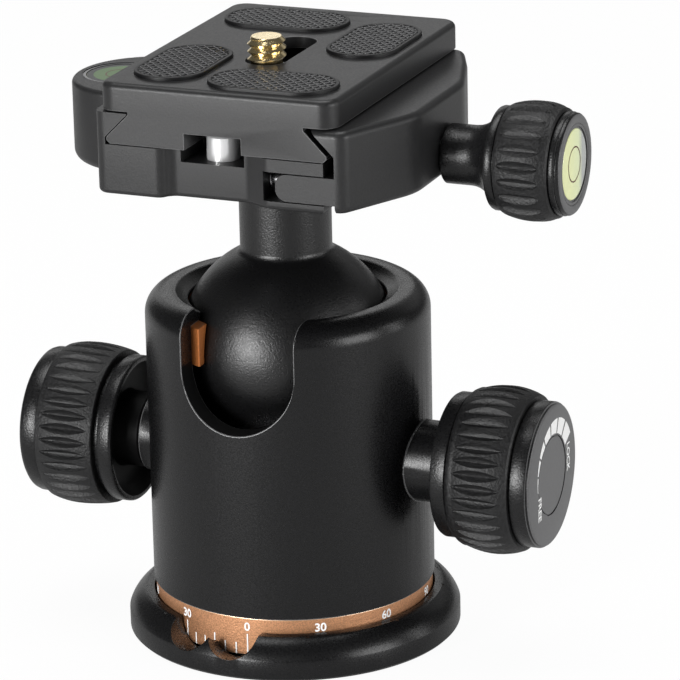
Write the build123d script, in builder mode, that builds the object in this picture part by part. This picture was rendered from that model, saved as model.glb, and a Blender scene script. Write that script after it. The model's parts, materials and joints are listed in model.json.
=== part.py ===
from build123d import *
from math import cos, radians, sin, sqrt, tan
import os

# Tripod ball head: a panning base, a housing with a drop notch, a ball clamped from below,
# and a dovetail clamp with its quick-release plate. Millimetres, +Z up, origin at the centre
# of the base's underside. The lock knob and the clamp knob point along +X, the notch faces -Y.

os.makedirs("parts", exist_ok=True)

# ---------------------------------------------------------------- fits
running_fit = 0.06  # radial clearance of a shaft that turns or slides
thread_fit = 0.04  # radial clearance of a modelled thread
press_gap = 0.02  # radial gap of two pieces fixed together
face_gap = 0.1  # gap between flat faces that move past each other
knob_gap = 0.3  # gap behind a turning knob

# ---------------------------------------------------------------- base
base_radius = 28.05
base_height = 6.8
base_side_height = 3.4
base_rim_width = 2.9
base_rim_curve = 6.0
base_edge = 0.5
groove_floor = 2.0
scallop_radius = 4.3
scallop_overlap = 0.8
scallop_drop = 0.35
scallop_tilt = 12
scallop_angles = (-18.9, -1.0)  # degrees from -Y towards +X

tripod_thread_radius = 4.76
camera_thread_radius = 3.175
insert_radius = 6.5
insert_height = 9.3
insert_room = 0.3
bushing_height = 9.0
coin_slot_width = 1.4
coin_slot_depth = 1.3

pivot_radius = 11.0
pivot_flange_radius = 18.4
pivot_flange_thickness = 3.0
base_screw_radius = 1.25
base_screw_circle = 9.0
base_screw_head_radius = 2.2
base_screw_length = 12.0
base_screw_count = 3
screw_tip_room = 0.6
hex_radius = 0.95
hex_depth = 1.0
washer_thickness = 1.0
glide_thickness = 0.6

# ---------------------------------------------------------------- housing
housing_gap = 2.3
housing_radius = 23.75
housing_edge_radius = 3.8
housing_bore_radius = 19.8
floor_radius = 21.0
floor_thickness = 6.5
mouth_radius = 18.0
mouth_edge = 0.6
lip_radius = 16.5
lip_taper = 0.7
lip_root_depth = 2.8
lip_low_depth = 1.9
lip_high_depth = 1.4
notch_half_width = 9.9
notch_drop = 8.6  # of the notch arc's centre below the rim
boss_radius = 6.8
boss_stand_off = 1.45
lock_boss_stand_off = 5.15

ring_wall = 1.2
ring_inset = 0.35
ring_gap = 0.35
ring_rise = 0.5

# ---------------------------------------------------------------- ball
ball_radius = 18.0
ball_drop = 9.7  # of the ball's centre below the rim
ball_over_lock = 0.2  # of its lowest point above the lock axis
stem_radius = 7.65
stem_root_radius = 1.2
stem_reach = 31.4
seat_clearance = 0.08
seat_ring_rise = 0.3
seat_gap_left = 8.2
seat_gap_right = 11.6

# ---------------------------------------------------------------- lock mechanism
lock_rise = 22.3
lock_screw_radius = 3.0
bush_wall = 1.2
guide_gap = 0.6
guide_floor_thickness = 1.5
guide_rise = 2.6
cup_radius = 12.2
cup_drop = 6.2
cup_rise = 4.0
cup_clearance = 0.25
wedge_angle = 12
wedge_half_width = 5.0
wedge_tail = 10.0
wedge_room = 1.5
wedge_nut_gap = 0.8
wedge_nut_length = 5.2
brake_rise = 21.9
brake_pin_radius = 2.6
brake_pin_gap = 0.7  # from the cup
brake_pin_lift = 0.4
brake_slope_drop = 2.4  # of the pin's 45 degree end, on its axis, below the screw's axis
brake_gap = 0.15
brake_tip_radius = 0.6

# ---------------------------------------------------------------- knobs
knob_edge = 0.4
knob_groove = 0.4
knob_hub_radius = 5.2
knob_screw_radius = 1.5
knob_screw_head = 2.8
knob_screw_length = 8.0
knob_recess_radius = 3.8

lock_flange_radius = 12.1
lock_flange_length = 2.3
lock_grip_root = 12.6
lock_grip_radius = 13.95
lock_grip_tail = 12.95
lock_grip_rise = 6.6  # from the grip's root to its widest place
lock_grip_length = 11.5
lock_hub_inset = 4.8
lock_cap_length = 3.4
lock_face_radius = 11.4
dial_radius = 6.5
dial_depth = 0.3

pan_neck_radius = 6.4
pan_dish_radius = 10.2
pan_dish_mouth = 11.7
pan_dish_depth = 2.8
pan_rim_start = 27.8
pan_rim_radius = 12.45
pan_rim_length = 2.6
pan_groove_length = 0.7
pan_grip_root = 13.1
pan_grip_radius = 13.85
pan_grip_tail = 13.2
pan_grip_rise = 6.3
pan_grip_length = 10.6
pan_hub_inset = 2.1
pan_cap_radius = 12.4
pan_cap_length = 3.3

clamp_neck_radius = 4.9
clamp_neck_length = 4.4
clamp_flare_length = 4.4
clamp_flange_radius = 8.5
clamp_flange_length = 1.6
clamp_grip_root = 8.85
clamp_grip_radius = 9.75
clamp_grip_tail = 8.9
clamp_grip_rise = 4.9
clamp_grip_length = 9.2
clamp_hub_inset = 4.6
clamp_spigot_inset = 2.4
clamp_spigot_radius = 8.0
clamp_cap_radius = 8.4
clamp_cap_length = 1.9
clamp_face_radius = 7.95
clamp_recess_radius = 4.0

# ---------------------------------------------------------------- clamp
clamp_height = 13.6
clamp_floor_rise = 8.3
clamp_left = -21.2
clamp_right = 18.4
clamp_length = 55.0
clamp_edge = 0.8
jaw_fit = 0.15
tongue_slot_start = 8.0
tongue_slot_rise = 1.4
tongue_slot_height = 4.8
lug_reach = 14.0
lug_half_width = 5.5
waist_depth = 2.0
waist_left = -8.4
waist_right = 4.6
waist_slope_left = 1.2
waist_slope_right = 4.0
waist_radius = 2.0
level_place = (-26.6, -4.2)
level_boss_place = (-22.0, -4.2)
level_boss_radius = 12.6
level_boss_edge = 1.8
bezel_radius = 6.6
bezel_floor = 0.6
vial_radius = 6.1
vial_edge = 0.4
level_depth = 3.4

clamp_bolt_radius = 2.5
clamp_bolt_head_radius = 4.9
clamp_bolt_length = 18.9
clamp_bolt_sink = 0.5
clamp_hex_radius = 2.2
clamp_hex_depth = 1.8

stop_pin_across = -1.4
stop_pin_inset = 6.5  # from the clamp's front
stop_pin_radius = 2.7
stop_pin_length = 6.7
stop_pin_rise = 3.4
stop_pin_edge = 0.4
stop_flange_radius = 3.4
stop_flange_thickness = 1.0
stop_recess_depth = 2.4
stop_recess_half_width = 5.5
stop_recess_room = 1.5
stop_plug_thickness = 1.0
stop_bore_depth = 4.5
stop_spring_radius = 1.6

jaw_opening = 1.25
jaw_lift = 0.2
jaw_reach = 28.8
jaw_corner_radius = 2.5
jaw_bend_radius = 12.0
jaw_edge = 1.2
jaw_edge_start = 0.3
jaw_front_taper = ((7.0, 0), (3.6, 7.0), (0, 14.5))  # inward from the reach, along from the end
jaw_back_taper = ((0, 19.5), (4.0, 7.5), (7.3, 0))
jaw_window_gap = 3.5
tongue_start = 10.2
tongue_gap = 0.2
tongue_end_radius = 1.9

clamp_screw_rise = 3.65
clamp_screw_radius = 2.5
clamp_screw_tip = 5.0
clamp_screw_bore = 3.5
clamp_screw_edge = 0.5

spring_inset = 5.0  # from the clamp's ends
spring_pin_radius = 1.4
spring_pin_inset = 1.4
spring_pin_depth = 8.3
spring_wire = 0.25
spring_radius = 1.85
spring_pitch = 1.1
spring_pocket_radius = 2.25
spring_pocket_start = 3.2
spring_reach = 8.95  # stops short of the tongue with the jaw fully closed

# ---------------------------------------------------------------- plate
plate_length = 56.0
plate_centre = 0.6
plate_thickness = 10.0
plate_flange = 4.55
plate_width = 40.8
plate_corner = 3.0
plate_edge = 1.0
dovetail_half_width = 19.0
dovetail_neck = 15.1
dovetail_height = 5.0
dovetail_edge = 0.6
slot_half_width = 3.45
slot_half_length = 9.6
slot_ledge = 2.0
cavity_half_width = 6.9
groove_half_width = 4.9
groove_centre = -0.5
groove_height = 2.7
stop_pin_travel = 3.8  # of the plate before the groove's end meets the pin
pad_length = 21.8
pad_width = 12.0
pad_height = 0.6
pad_seat = 0.6
pad_edge = 0.3
front_pad_across = 7.0
front_pad_inset = 7.7
rear_pad_across = -6.6
rear_pad_inset = 10.4
left_pad_along = -12.8
left_pad_inset = 8.8
right_pad_along = 9.6
right_pad_inset = 7.9
screw_place = -5.9
screw_reach = 3.95
screw_edge = 0.5
screw_neck_radius = 2.6
screw_head_radius = 6.2
screw_head_thickness = 1.9
slider_thickness = 0.6
slider_room = 0.5

# ---------------------------------------------------------------- worked-out heights
washer_top = base_height + washer_thickness
floor_bottom = washer_top + face_gap
housing_bottom = base_height + housing_gap
floor_top = housing_bottom + floor_thickness
ring_bottom = groove_floor + ring_rise
glide_bottom = floor_top + face_gap
pivot_flange_bottom = glide_bottom + glide_thickness + face_gap
pivot_top = pivot_flange_bottom + pivot_flange_thickness
lock_height = housing_bottom + lock_rise
ball_height = lock_height + ball_over_lock + ball_radius
housing_top = ball_height + ball_drop
housing_height = housing_top - housing_bottom
lip_root = housing_top - lip_root_depth
notch_height = housing_top - notch_drop
brake_height = housing_bottom + brake_rise
guide_bottom = pivot_top + guide_gap
guide_floor = guide_bottom + guide_floor_thickness
guide_top = lock_height + guide_rise
cup_bottom = lock_height - cup_drop
cup_top = lock_height + cup_rise
brake_slope_height = brake_height - brake_slope_drop

stem_base = ball_height + sqrt(ball_radius**2 - stem_radius**2)
stem_top = ball_height + stem_reach
clamp_bottom = stem_top + face_gap
clamp_top = clamp_bottom + clamp_height
clamp_floor = clamp_bottom + clamp_floor_rise
clamp_bolt_high = clamp_floor - clamp_bolt_sink
clamp_bolt_low = clamp_bolt_high - clamp_bolt_length
tongue_slot_low = clamp_bottom + tongue_slot_rise
tongue_low = tongue_slot_low + tongue_gap
tongue_high = tongue_slot_low + tongue_slot_height - tongue_gap
tongue_middle = (tongue_low + tongue_high) / 2
clamp_screw_height = clamp_bottom + clamp_screw_rise
stop_pin_low = clamp_bottom + stop_pin_rise
plate_bottom = clamp_floor + face_gap
plate_top = plate_bottom + plate_thickness
plate_flange_bottom = plate_top - plate_flange
dovetail_high = plate_bottom + dovetail_height
dovetail_low = dovetail_high - (dovetail_half_width - dovetail_neck)
ledge_bottom = plate_top - slot_ledge
slider_top = ledge_bottom - face_gap
screw_head_top = slider_top - slider_thickness - face_gap

# ---------------------------------------------------------------- worked-out reaches
ring_radius = housing_radius - ring_inset
ring_inner_radius = ring_radius - ring_wall
base_flat_radius = base_radius - base_rim_width
boss_reach = housing_radius + boss_stand_off
bush_radius = lock_screw_radius + running_fit + bush_wall
wedge_slope = tan(radians(wedge_angle))
wedge_nut_start = cup_radius + wedge_nut_gap
wedge_nut_end = wedge_nut_start + wedge_nut_length
brake_pin_place = -(cup_radius + brake_pin_gap + brake_pin_radius)
brake_tip = brake_pin_place + brake_slope_drop - brake_gap

lock_boss_reach = housing_radius + lock_boss_stand_off
lock_knob_start = lock_boss_reach + knob_gap
lock_grip_start = lock_knob_start + lock_flange_length
lock_grip_widest = lock_grip_start + lock_grip_rise
lock_grip_end = lock_grip_start + lock_grip_length
lock_hub_end = lock_grip_end - lock_hub_inset
lock_knob_face = lock_grip_end + lock_cap_length
pan_knob_start = boss_reach + knob_gap
pan_dish_floor = pan_rim_start + pan_dish_depth
pan_groove_start = pan_rim_start + pan_rim_length
pan_grip_start = pan_groove_start + pan_groove_length
pan_grip_widest = pan_grip_start + pan_grip_rise
pan_grip_end = pan_grip_start + pan_grip_length
pan_knob_face = pan_grip_end + pan_cap_length
pan_hub_end = pan_grip_end - pan_hub_inset
clamp_knob_start = jaw_reach + knob_gap
clamp_flare_start = clamp_knob_start + clamp_neck_length
clamp_flange_start = clamp_flare_start + clamp_flare_length
clamp_grip_start = clamp_flange_start + clamp_flange_length
clamp_grip_widest = clamp_grip_start + clamp_grip_rise
clamp_grip_end = clamp_grip_start + clamp_grip_length
clamp_hub_end = clamp_grip_end - clamp_hub_inset
clamp_spigot_start = clamp_grip_end - clamp_spigot_inset
clamp_knob_face = clamp_grip_end + clamp_cap_length

clamp_front = -clamp_length / 2
clamp_back = clamp_length / 2
stop_pin_place = (stop_pin_across, clamp_front + stop_pin_inset)
groove_end = stop_pin_place[1] + stop_pin_radius + stop_pin_travel
spring_place = clamp_back - spring_inset
plate_front = plate_centre - plate_length / 2
plate_back = plate_centre + plate_length / 2
pad_places = {
    "front_pad": Location((front_pad_across, plate_front + front_pad_inset, 0)),
    "rear_pad": Location((rear_pad_across, plate_back - rear_pad_inset, 0)),
    "left_pad": Location((left_pad_inset - plate_width / 2, left_pad_along, 0), (0, 0, 90)),
    "right_pad": Location((plate_width / 2 - right_pad_inset, right_pad_along, 0), (0, 0, 90)),
}
jaw_wall = dovetail_half_width + jaw_opening
spring_pin_start = spring_pocket_start + spring_pin_inset
spring_pin_end = tongue_start + spring_pin_depth
spring_places = [(-spring_place, tongue_middle), (spring_place, tongue_middle)]
cavity_half_length = slot_half_length - slot_half_width + cavity_half_width
slider_radius = cavity_half_width - slider_room

LOCK_AXIS = Axis((0, 0, lock_height), (1, 0, 0))
BRAKE_AXIS = Axis((0, 0, brake_height), (1, 0, 0))
CLAMP_AXIS = Axis((0, 0, clamp_screw_height), (1, 0, 0))


def about(height, *points):
    """Turn (x, radius) points into (x, z) points about an axis at that height."""
    return [(x, height + radius) for x, radius in points]


def leftwards(*points):
    """Turn (reach, radius) points into the same points on the -X side."""
    return [(-x, radius) for x, radius in points]


# ================================================================ base
with BuildPart() as pan_base:
    with BuildSketch(Plane.XZ):
        with BuildLine():
            Polyline(
                (0, 0),
                (base_radius - base_edge, 0),
                (base_radius, base_edge),
                (base_radius, base_side_height),
            )
            RadiusArc(
                (base_radius, base_side_height), (base_flat_radius, base_height), -base_rim_curve
            )
            Polyline(
                (base_flat_radius, base_height),
                (ring_radius + ring_gap, base_height),
                (ring_radius + ring_gap, groove_floor),
                (ring_inner_radius - ring_gap, groove_floor),
                (ring_inner_radius - ring_gap, base_height),
                (0, base_height),
                (0, 0),
            )
        make_face()
    revolve(axis=Axis.Z)
    for angle in scallop_angles:
        turn = radians(angle)
        tilt = radians(scallop_tilt)
        scallop_start = ring_radius - scallop_overlap
        with BuildSketch(
            Plane(
                origin=(
                    sin(turn) * scallop_start,
                    -cos(turn) * scallop_start,
                    base_height - scallop_drop,
                ),
                z_dir=(sin(turn) * cos(tilt), -cos(turn) * cos(tilt), sin(tilt)),
            )
        ):
            Circle(scallop_radius)
        extrude(amount=base_radius, mode=Mode.SUBTRACT)
    with BuildSketch():
        Circle(insert_radius + press_gap)
        with PolarLocations(base_screw_circle, base_screw_count):
            Circle(base_screw_radius + running_fit)
    extrude(amount=base_height, mode=Mode.SUBTRACT)
    with BuildSketch():
        with PolarLocations(base_screw_circle, base_screw_count):
            Circle(base_screw_head_radius + running_fit)
    extrude(amount=base_screw_head_radius - base_screw_radius, taper=45, mode=Mode.SUBTRACT)

with BuildPart() as thread_insert:
    with BuildSketch():
        Circle(insert_radius)
        Circle(tripod_thread_radius + press_gap, mode=Mode.SUBTRACT)
    extrude(amount=insert_height)

with BuildPart() as reducer_bushing:
    with BuildSketch():
        Circle(tripod_thread_radius)
        Circle(camera_thread_radius, mode=Mode.SUBTRACT)
    extrude(amount=bushing_height)
    with BuildSketch():
        Rectangle(2 * tripod_thread_radius, coin_slot_width)
    extrude(amount=coin_slot_depth, mode=Mode.SUBTRACT)

with BuildPart() as pan_washer:
    with BuildSketch(Plane.XY.offset(base_height)):
        Circle(ring_inner_radius - 2 * ring_gap)
        Circle(pivot_radius + running_fit, mode=Mode.SUBTRACT)
    extrude(amount=washer_thickness)

with BuildPart() as pan_pivot:
    with BuildSketch(Plane.XY.offset(base_height)):
        Circle(pivot_radius)
    extrude(amount=pivot_flange_bottom - base_height)
    with BuildSketch(Plane.XY.offset(pivot_flange_bottom)):
        Circle(pivot_flange_radius)
    extrude(amount=pivot_flange_thickness)
    with BuildSketch(Plane.XY.offset(base_height)):
        Circle(insert_radius + press_gap)
    extrude(amount=insert_height - base_height + insert_room, mode=Mode.SUBTRACT)
    with BuildSketch(Plane.XY.offset(base_height)):
        with PolarLocations(base_screw_circle, base_screw_count):
            Circle(base_screw_radius + press_gap)
    extrude(amount=base_screw_length - base_height + screw_tip_room, mode=Mode.SUBTRACT)

with BuildPart() as base_screws:
    with BuildSketch():
        with PolarLocations(base_screw_circle, base_screw_count):
            Circle(base_screw_radius)
    extrude(amount=base_screw_length)
    with BuildSketch():
        with PolarLocations(base_screw_circle, base_screw_count):
            Circle(base_screw_head_radius)
    extrude(amount=base_screw_head_radius - base_screw_radius, taper=45)
    with BuildSketch():
        with PolarLocations(base_screw_circle, base_screw_count):
            RegularPolygon(hex_radius, 6)
    extrude(amount=hex_depth, mode=Mode.SUBTRACT)

# ================================================================ housing
with BuildPart() as housing:
    with BuildSketch(Plane.XY.offset(housing_bottom)):
        Circle(housing_radius)
    extrude(amount=housing_height)
    fillet(housing.edges().group_by(Axis.Z)[-1], housing_edge_radius)
    with BuildSketch(Plane.YZ):
        with Locations((0, lock_height)):
            Circle(boss_radius)
    extrude(amount=lock_boss_reach)
    with BuildSketch(Plane.YZ):
        with Locations((0, brake_height)):
            Circle(boss_radius)
    extrude(amount=-boss_reach)
    with BuildSketch(Plane.XZ):
        with BuildLine():
            Polyline(
                (0, housing_bottom),
                (floor_radius, housing_bottom),
                (floor_radius, floor_top),
                (housing_bore_radius, floor_top),
                (housing_bore_radius, lip_root),
                (lip_radius + lip_taper, lip_root),
                (lip_radius, housing_top - lip_low_depth),
                (lip_radius, housing_top - lip_high_depth),
                (mouth_radius, housing_top - mouth_edge),
                (mouth_radius + mouth_edge, housing_top),
                (0, housing_top),
                close=True,
            )
        make_face()
    revolve(axis=Axis.Z, mode=Mode.SUBTRACT)
    with BuildSketch(Plane.XZ):
        with Locations((0, notch_height)):
            Circle(notch_half_width)
            Rectangle(2 * notch_half_width, 2 * notch_drop, align=(Align.CENTER, Align.MIN))
    extrude(amount=2 * housing_radius, mode=Mode.SUBTRACT)
    with BuildSketch(Plane.YZ.offset(ball_radius)):
        with Locations((0, lock_height)):
            Circle(bush_radius + press_gap)
    extrude(amount=lock_boss_reach, mode=Mode.SUBTRACT)
    with BuildSketch(Plane.YZ.offset(-ball_radius)):
        with Locations((0, brake_height)):
            Circle(bush_radius + press_gap)
    extrude(amount=-boss_reach, mode=Mode.SUBTRACT)

with BuildPart() as scale_ring:
    with BuildSketch(Plane.XY.offset(ring_bottom)):
        Circle(ring_radius)
        Circle(ring_inner_radius, mode=Mode.SUBTRACT)
    extrude(amount=housing_bottom - ring_bottom)

with BuildPart() as floor_plate:
    with BuildSketch(Plane.XY.offset(floor_bottom)):
        Circle(ring_inner_radius - press_gap)
    extrude(amount=housing_bottom - floor_bottom)
    with BuildSketch(Plane.XY.offset(housing_bottom)):
        Circle(floor_radius - press_gap)
    extrude(amount=floor_thickness)
    with BuildSketch(Plane.XY.offset(floor_bottom)):
        Circle(pivot_radius + running_fit)
    extrude(amount=floor_top - floor_bottom, mode=Mode.SUBTRACT)

with BuildPart() as glide_washer:
    with BuildSketch(Plane.XY.offset(glide_bottom)):
        Circle(pivot_flange_radius)
        Circle(pivot_radius + running_fit, mode=Mode.SUBTRACT)
    extrude(amount=glide_thickness)

with BuildPart() as seat_ring:
    seat_ring_bottom = ball_height + seat_ring_rise
    with BuildSketch(Plane.XY.offset(seat_ring_bottom)):
        Circle(housing_bore_radius - press_gap)
    extrude(amount=lip_root - face_gap - seat_ring_bottom)
    with Locations((0, 0, ball_height)):
        Sphere(ball_radius + seat_clearance, mode=Mode.SUBTRACT)
    with BuildSketch(Plane.XY.offset(seat_ring_bottom)):
        with Locations((-seat_gap_left, 0)):
            Rectangle(
                seat_gap_left + seat_gap_right, housing_radius, align=(Align.MIN, Align.MAX)
            )
    extrude(amount=housing_height, mode=Mode.SUBTRACT)

with BuildPart() as guide_block:
    with BuildSketch(Plane.XY.offset(guide_bottom)):
        Circle(housing_bore_radius - press_gap)
    extrude(amount=guide_top - guide_bottom)
    with BuildSketch(Plane.XY.offset(cup_bottom - cup_radius * wedge_slope - face_gap)):
        Circle(cup_radius + running_fit)
    extrude(amount=housing_height, mode=Mode.SUBTRACT)
    with BuildSketch(Plane.XY.offset(guide_floor)):
        with Locations((-wedge_tail - wedge_room, 0)):
            Rectangle(
                2 * housing_bore_radius,
                2 * (wedge_half_width + face_gap),
                align=(Align.MIN, Align.CENTER),
            )
    extrude(amount=housing_height, mode=Mode.SUBTRACT)
    with BuildSketch(Plane.XY.offset(guide_bottom)):
        with Locations((brake_pin_place, 0)):
            Circle(brake_pin_radius + running_fit)
    extrude(amount=housing_height, mode=Mode.SUBTRACT)
    with BuildSketch(Plane.YZ.offset(brake_pin_place + brake_pin_radius)):
        with Locations((0, brake_height)):
            Circle(lock_screw_radius + running_fit)
    extrude(amount=-housing_bore_radius, mode=Mode.SUBTRACT)

with BuildPart() as lock_bush:
    with BuildSketch(Plane.YZ.offset(housing_bore_radius)):
        with Locations((0, lock_height)):
            Circle(bush_radius)
            Circle(lock_screw_radius + running_fit, mode=Mode.SUBTRACT)
    extrude(amount=lock_boss_reach - housing_bore_radius)

with BuildPart() as brake_bush:
    with BuildSketch(Plane.YZ.offset(-boss_reach)):
        with Locations((0, brake_height)):
            Circle(bush_radius)
            Circle(lock_screw_radius + running_fit, mode=Mode.SUBTRACT)
    extrude(amount=boss_reach - housing_bore_radius)

# ================================================================ ball and its clamping
with BuildPart() as ball:
    with Locations((0, 0, ball_height)):
        Sphere(ball_radius)
    with BuildSketch(Plane.XY.offset(ball_height)):
        Circle(stem_radius)
    extrude(amount=stem_reach)
    stem_root = ball.edges().filter_by(
        lambda edge: edge.geom_type == GeomType.CIRCLE
        and abs(edge.center().Z - stem_base) < stem_root_radius / 2
    )
    fillet(stem_root, stem_root_radius)
    with BuildSketch(Plane.XY.offset(clamp_bolt_low - screw_tip_room)):
        Circle(clamp_bolt_radius + running_fit)
    extrude(amount=clamp_bolt_length, mode=Mode.SUBTRACT)

with BuildPart() as lower_seat:
    with BuildSketch(Plane.XZ):
        with BuildLine():
            Polyline(
                (-cup_radius, cup_bottom + cup_radius * wedge_slope),
                (cup_radius, cup_bottom - cup_radius * wedge_slope),
                (cup_radius, cup_top),
                (-cup_radius, cup_top),
                close=True,
            )
        make_face()
    extrude(amount=cup_radius, both=True)
    with BuildSketch():
        Circle(cup_radius)
    extrude(amount=cup_top, mode=Mode.INTERSECT)
    with Locations((0, 0, ball_height)):
        Sphere(ball_radius + cup_clearance, mode=Mode.SUBTRACT)

with BuildPart() as lock_wedge:
    wedge_middle = cup_bottom - face_gap
    with BuildSketch(Plane.XZ):
        with BuildLine():
            Polyline(
                (-wedge_tail, guide_floor + face_gap),
                (wedge_nut_end, guide_floor + face_gap),
                (wedge_nut_end, guide_top),
                (wedge_nut_start, guide_top),
                (wedge_nut_start, wedge_middle - wedge_nut_start * wedge_slope),
                (-wedge_tail, wedge_middle + wedge_tail * wedge_slope),
                close=True,
            )
        make_face()
    extrude(amount=wedge_half_width, both=True)
    with BuildSketch(Plane.YZ.offset(wedge_nut_start)):
        with Locations((0, lock_height)):
            Circle(lock_screw_radius + thread_fit)
    extrude(amount=wedge_nut_length, mode=Mode.SUBTRACT)

with BuildPart() as brake_pin:
    brake_pin_bottom = pivot_top + brake_pin_lift
    with BuildSketch(Plane.XZ):
        with BuildLine():
            Polyline(
                (brake_pin_place - brake_pin_radius, brake_pin_bottom),
                (brake_pin_place + brake_pin_radius, brake_pin_bottom),
                (brake_pin_place + brake_pin_radius, brake_slope_height + brake_pin_radius),
                (brake_pin_place - brake_pin_radius, brake_slope_height - brake_pin_radius),
                close=True,
            )
        make_face()
    extrude(amount=brake_pin_radius, both=True)
    with BuildSketch(Plane.XY.offset(brake_pin_bottom)):
        with Locations((brake_pin_place, 0)):
            Circle(brake_pin_radius)
    extrude(amount=brake_height, mode=Mode.INTERSECT)

# ================================================================ lock knob, on the +X side
with BuildPart() as lock_screw:
    with BuildSketch(Plane.YZ.offset(wedge_nut_start)):
        with Locations((0, lock_height)):
            Circle(lock_screw_radius)
    extrude(amount=lock_hub_end - wedge_nut_start)
    with BuildSketch(Plane.YZ.offset(lock_hub_end)):
        with Locations((0, lock_height)):
            Circle(knob_screw_radius + press_gap)
    extrude(amount=-knob_screw_length - screw_tip_room, mode=Mode.SUBTRACT)

with BuildPart() as lock_knob_hub:
    with BuildSketch(Plane.YZ.offset(lock_knob_start)):
        with Locations((0, lock_height)):
            Circle(knob_hub_radius)
            Circle(lock_screw_radius + press_gap, mode=Mode.SUBTRACT)
    extrude(amount=lock_hub_end - lock_knob_start)

with BuildPart() as lock_knob_grip:
    with BuildSketch(Plane.XZ):
        with BuildLine():
            lock_grip_line = about(
                lock_height,
                (lock_grip_end, lock_grip_tail),
                (lock_grip_end, knob_recess_radius),
                (lock_hub_end, knob_recess_radius),
                (lock_hub_end, knob_hub_radius + press_gap),
                (lock_knob_start, knob_hub_radius + press_gap),
                (lock_knob_start, lock_flange_radius - knob_edge),
                (lock_knob_start + knob_edge, lock_flange_radius),
                (lock_grip_start, lock_flange_radius),
                (lock_grip_start, lock_grip_root),
            )
            lock_grip_middle = (lock_grip_widest, lock_height + lock_grip_radius)
            Polyline(*lock_grip_line)
            ThreePointArc(lock_grip_line[-1], lock_grip_middle, lock_grip_line[0])
        make_face()
    revolve(axis=LOCK_AXIS)

with BuildPart() as lock_knob_screw:
    with BuildSketch(Plane.XZ):
        with BuildLine():
            lock_knob_screw_line = about(
                lock_height,
                (lock_hub_end - knob_screw_length, 0),
                (lock_hub_end - knob_screw_length, knob_screw_radius),
                (lock_hub_end, knob_screw_radius),
                (lock_hub_end, knob_screw_head),
                (lock_hub_end + knob_screw_radius, knob_screw_head),
                (lock_hub_end + knob_screw_radius, 0),
            )
            Polyline(*lock_knob_screw_line, close=True)
        make_face()
    revolve(axis=LOCK_AXIS)

with BuildPart() as lock_knob_cap:
    with BuildSketch(Plane.XZ):
        with BuildLine():
            lock_cap_line = about(
                lock_height,
                (lock_grip_end, 0),
                (lock_grip_end, lock_flange_radius),
                (lock_knob_face - 2 * knob_groove, lock_flange_radius),
                (lock_knob_face - knob_groove, lock_face_radius + knob_edge / 2),
                (lock_knob_face, lock_face_radius),
                (lock_knob_face, dial_radius),
                (lock_knob_face - dial_depth, dial_radius - dial_depth),
                (lock_knob_face - dial_depth, 0),
            )
            Polyline(*lock_cap_line, close=True)
        make_face()
    revolve(axis=LOCK_AXIS)

# ================================================================ pan lock knob, on the -X side
with BuildPart() as brake_screw:
    with BuildSketch(Plane.XZ):
        with BuildLine():
            brake_screw_line = about(
                brake_height,
                (brake_tip - brake_tip_radius, 0),
                (brake_tip - brake_tip_radius, brake_tip_radius),
                (brake_tip - lock_screw_radius, lock_screw_radius),
                (-pan_hub_end, lock_screw_radius),
                (-pan_hub_end, 0),
            )
            Polyline(*brake_screw_line, close=True)
        make_face()
    revolve(axis=BRAKE_AXIS)
    with BuildSketch(Plane.YZ.offset(-pan_hub_end)):
        with Locations((0, brake_height)):
            Circle(knob_screw_radius + press_gap)
    extrude(amount=knob_screw_length + screw_tip_room, mode=Mode.SUBTRACT)

with BuildPart() as pan_knob_hub:
    with BuildSketch(Plane.YZ.offset(-pan_hub_end)):
        with Locations((0, brake_height)):
            Circle(knob_hub_radius)
            Circle(lock_screw_radius + press_gap, mode=Mode.SUBTRACT)
    extrude(amount=pan_hub_end - pan_knob_start)

with BuildPart() as pan_knob_grip:
    with BuildSketch(Plane.XZ):
        with BuildLine():
            pan_grip_points = leftwards(
                (pan_grip_end, pan_grip_tail),
                (pan_grip_end, knob_recess_radius),
                (pan_hub_end, knob_recess_radius),
                (pan_hub_end, knob_hub_radius + press_gap),
                (pan_knob_start, knob_hub_radius + press_gap),
                (pan_knob_start, pan_neck_radius),
                (pan_dish_floor, pan_neck_radius),
                (pan_dish_floor, pan_dish_radius),
                (pan_rim_start, pan_dish_mouth),
                (pan_rim_start, pan_rim_radius - knob_edge),
                (pan_rim_start + knob_edge, pan_rim_radius),
                (pan_groove_start, pan_rim_radius),
                (pan_groove_start, pan_rim_radius - knob_groove),
                (pan_grip_start, pan_rim_radius - knob_groove),
                (pan_grip_start, pan_grip_root),
            )
            pan_grip_line = about(brake_height, *pan_grip_points)
            pan_grip_middle = (-pan_grip_widest, brake_height + pan_grip_radius)
            Polyline(*pan_grip_line)
            ThreePointArc(pan_grip_line[-1], pan_grip_middle, pan_grip_line[0])
        make_face()
    revolve(axis=BRAKE_AXIS)

with BuildPart() as pan_knob_screw:
    with BuildSketch(Plane.XZ):
        with BuildLine():
            pan_knob_screw_line = leftwards(
                (pan_hub_end - knob_screw_length, 0),
                (pan_hub_end - knob_screw_length, knob_screw_radius),
                (pan_hub_end, knob_screw_radius),
                (pan_hub_end, knob_screw_head),
                (pan_hub_end + knob_screw_radius, knob_screw_head),
                (pan_hub_end + knob_screw_radius, 0),
            )
            Polyline(*about(brake_height, *pan_knob_screw_line), close=True)
        make_face()
    revolve(axis=BRAKE_AXIS)

with BuildPart() as pan_knob_cap:
    with BuildSketch(Plane.XZ):
        with BuildLine():
            pan_cap_line = leftwards(
                (pan_grip_end, 0),
                (pan_grip_end, pan_cap_radius),
                (pan_knob_face - 2 * knob_edge, pan_cap_radius),
                (pan_knob_face, pan_cap_radius - 2 * knob_edge),
                (pan_knob_face, 0),
            )
            Polyline(*about(brake_height, *pan_cap_line), close=True)
        make_face()
    revolve(axis=BRAKE_AXIS)

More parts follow.
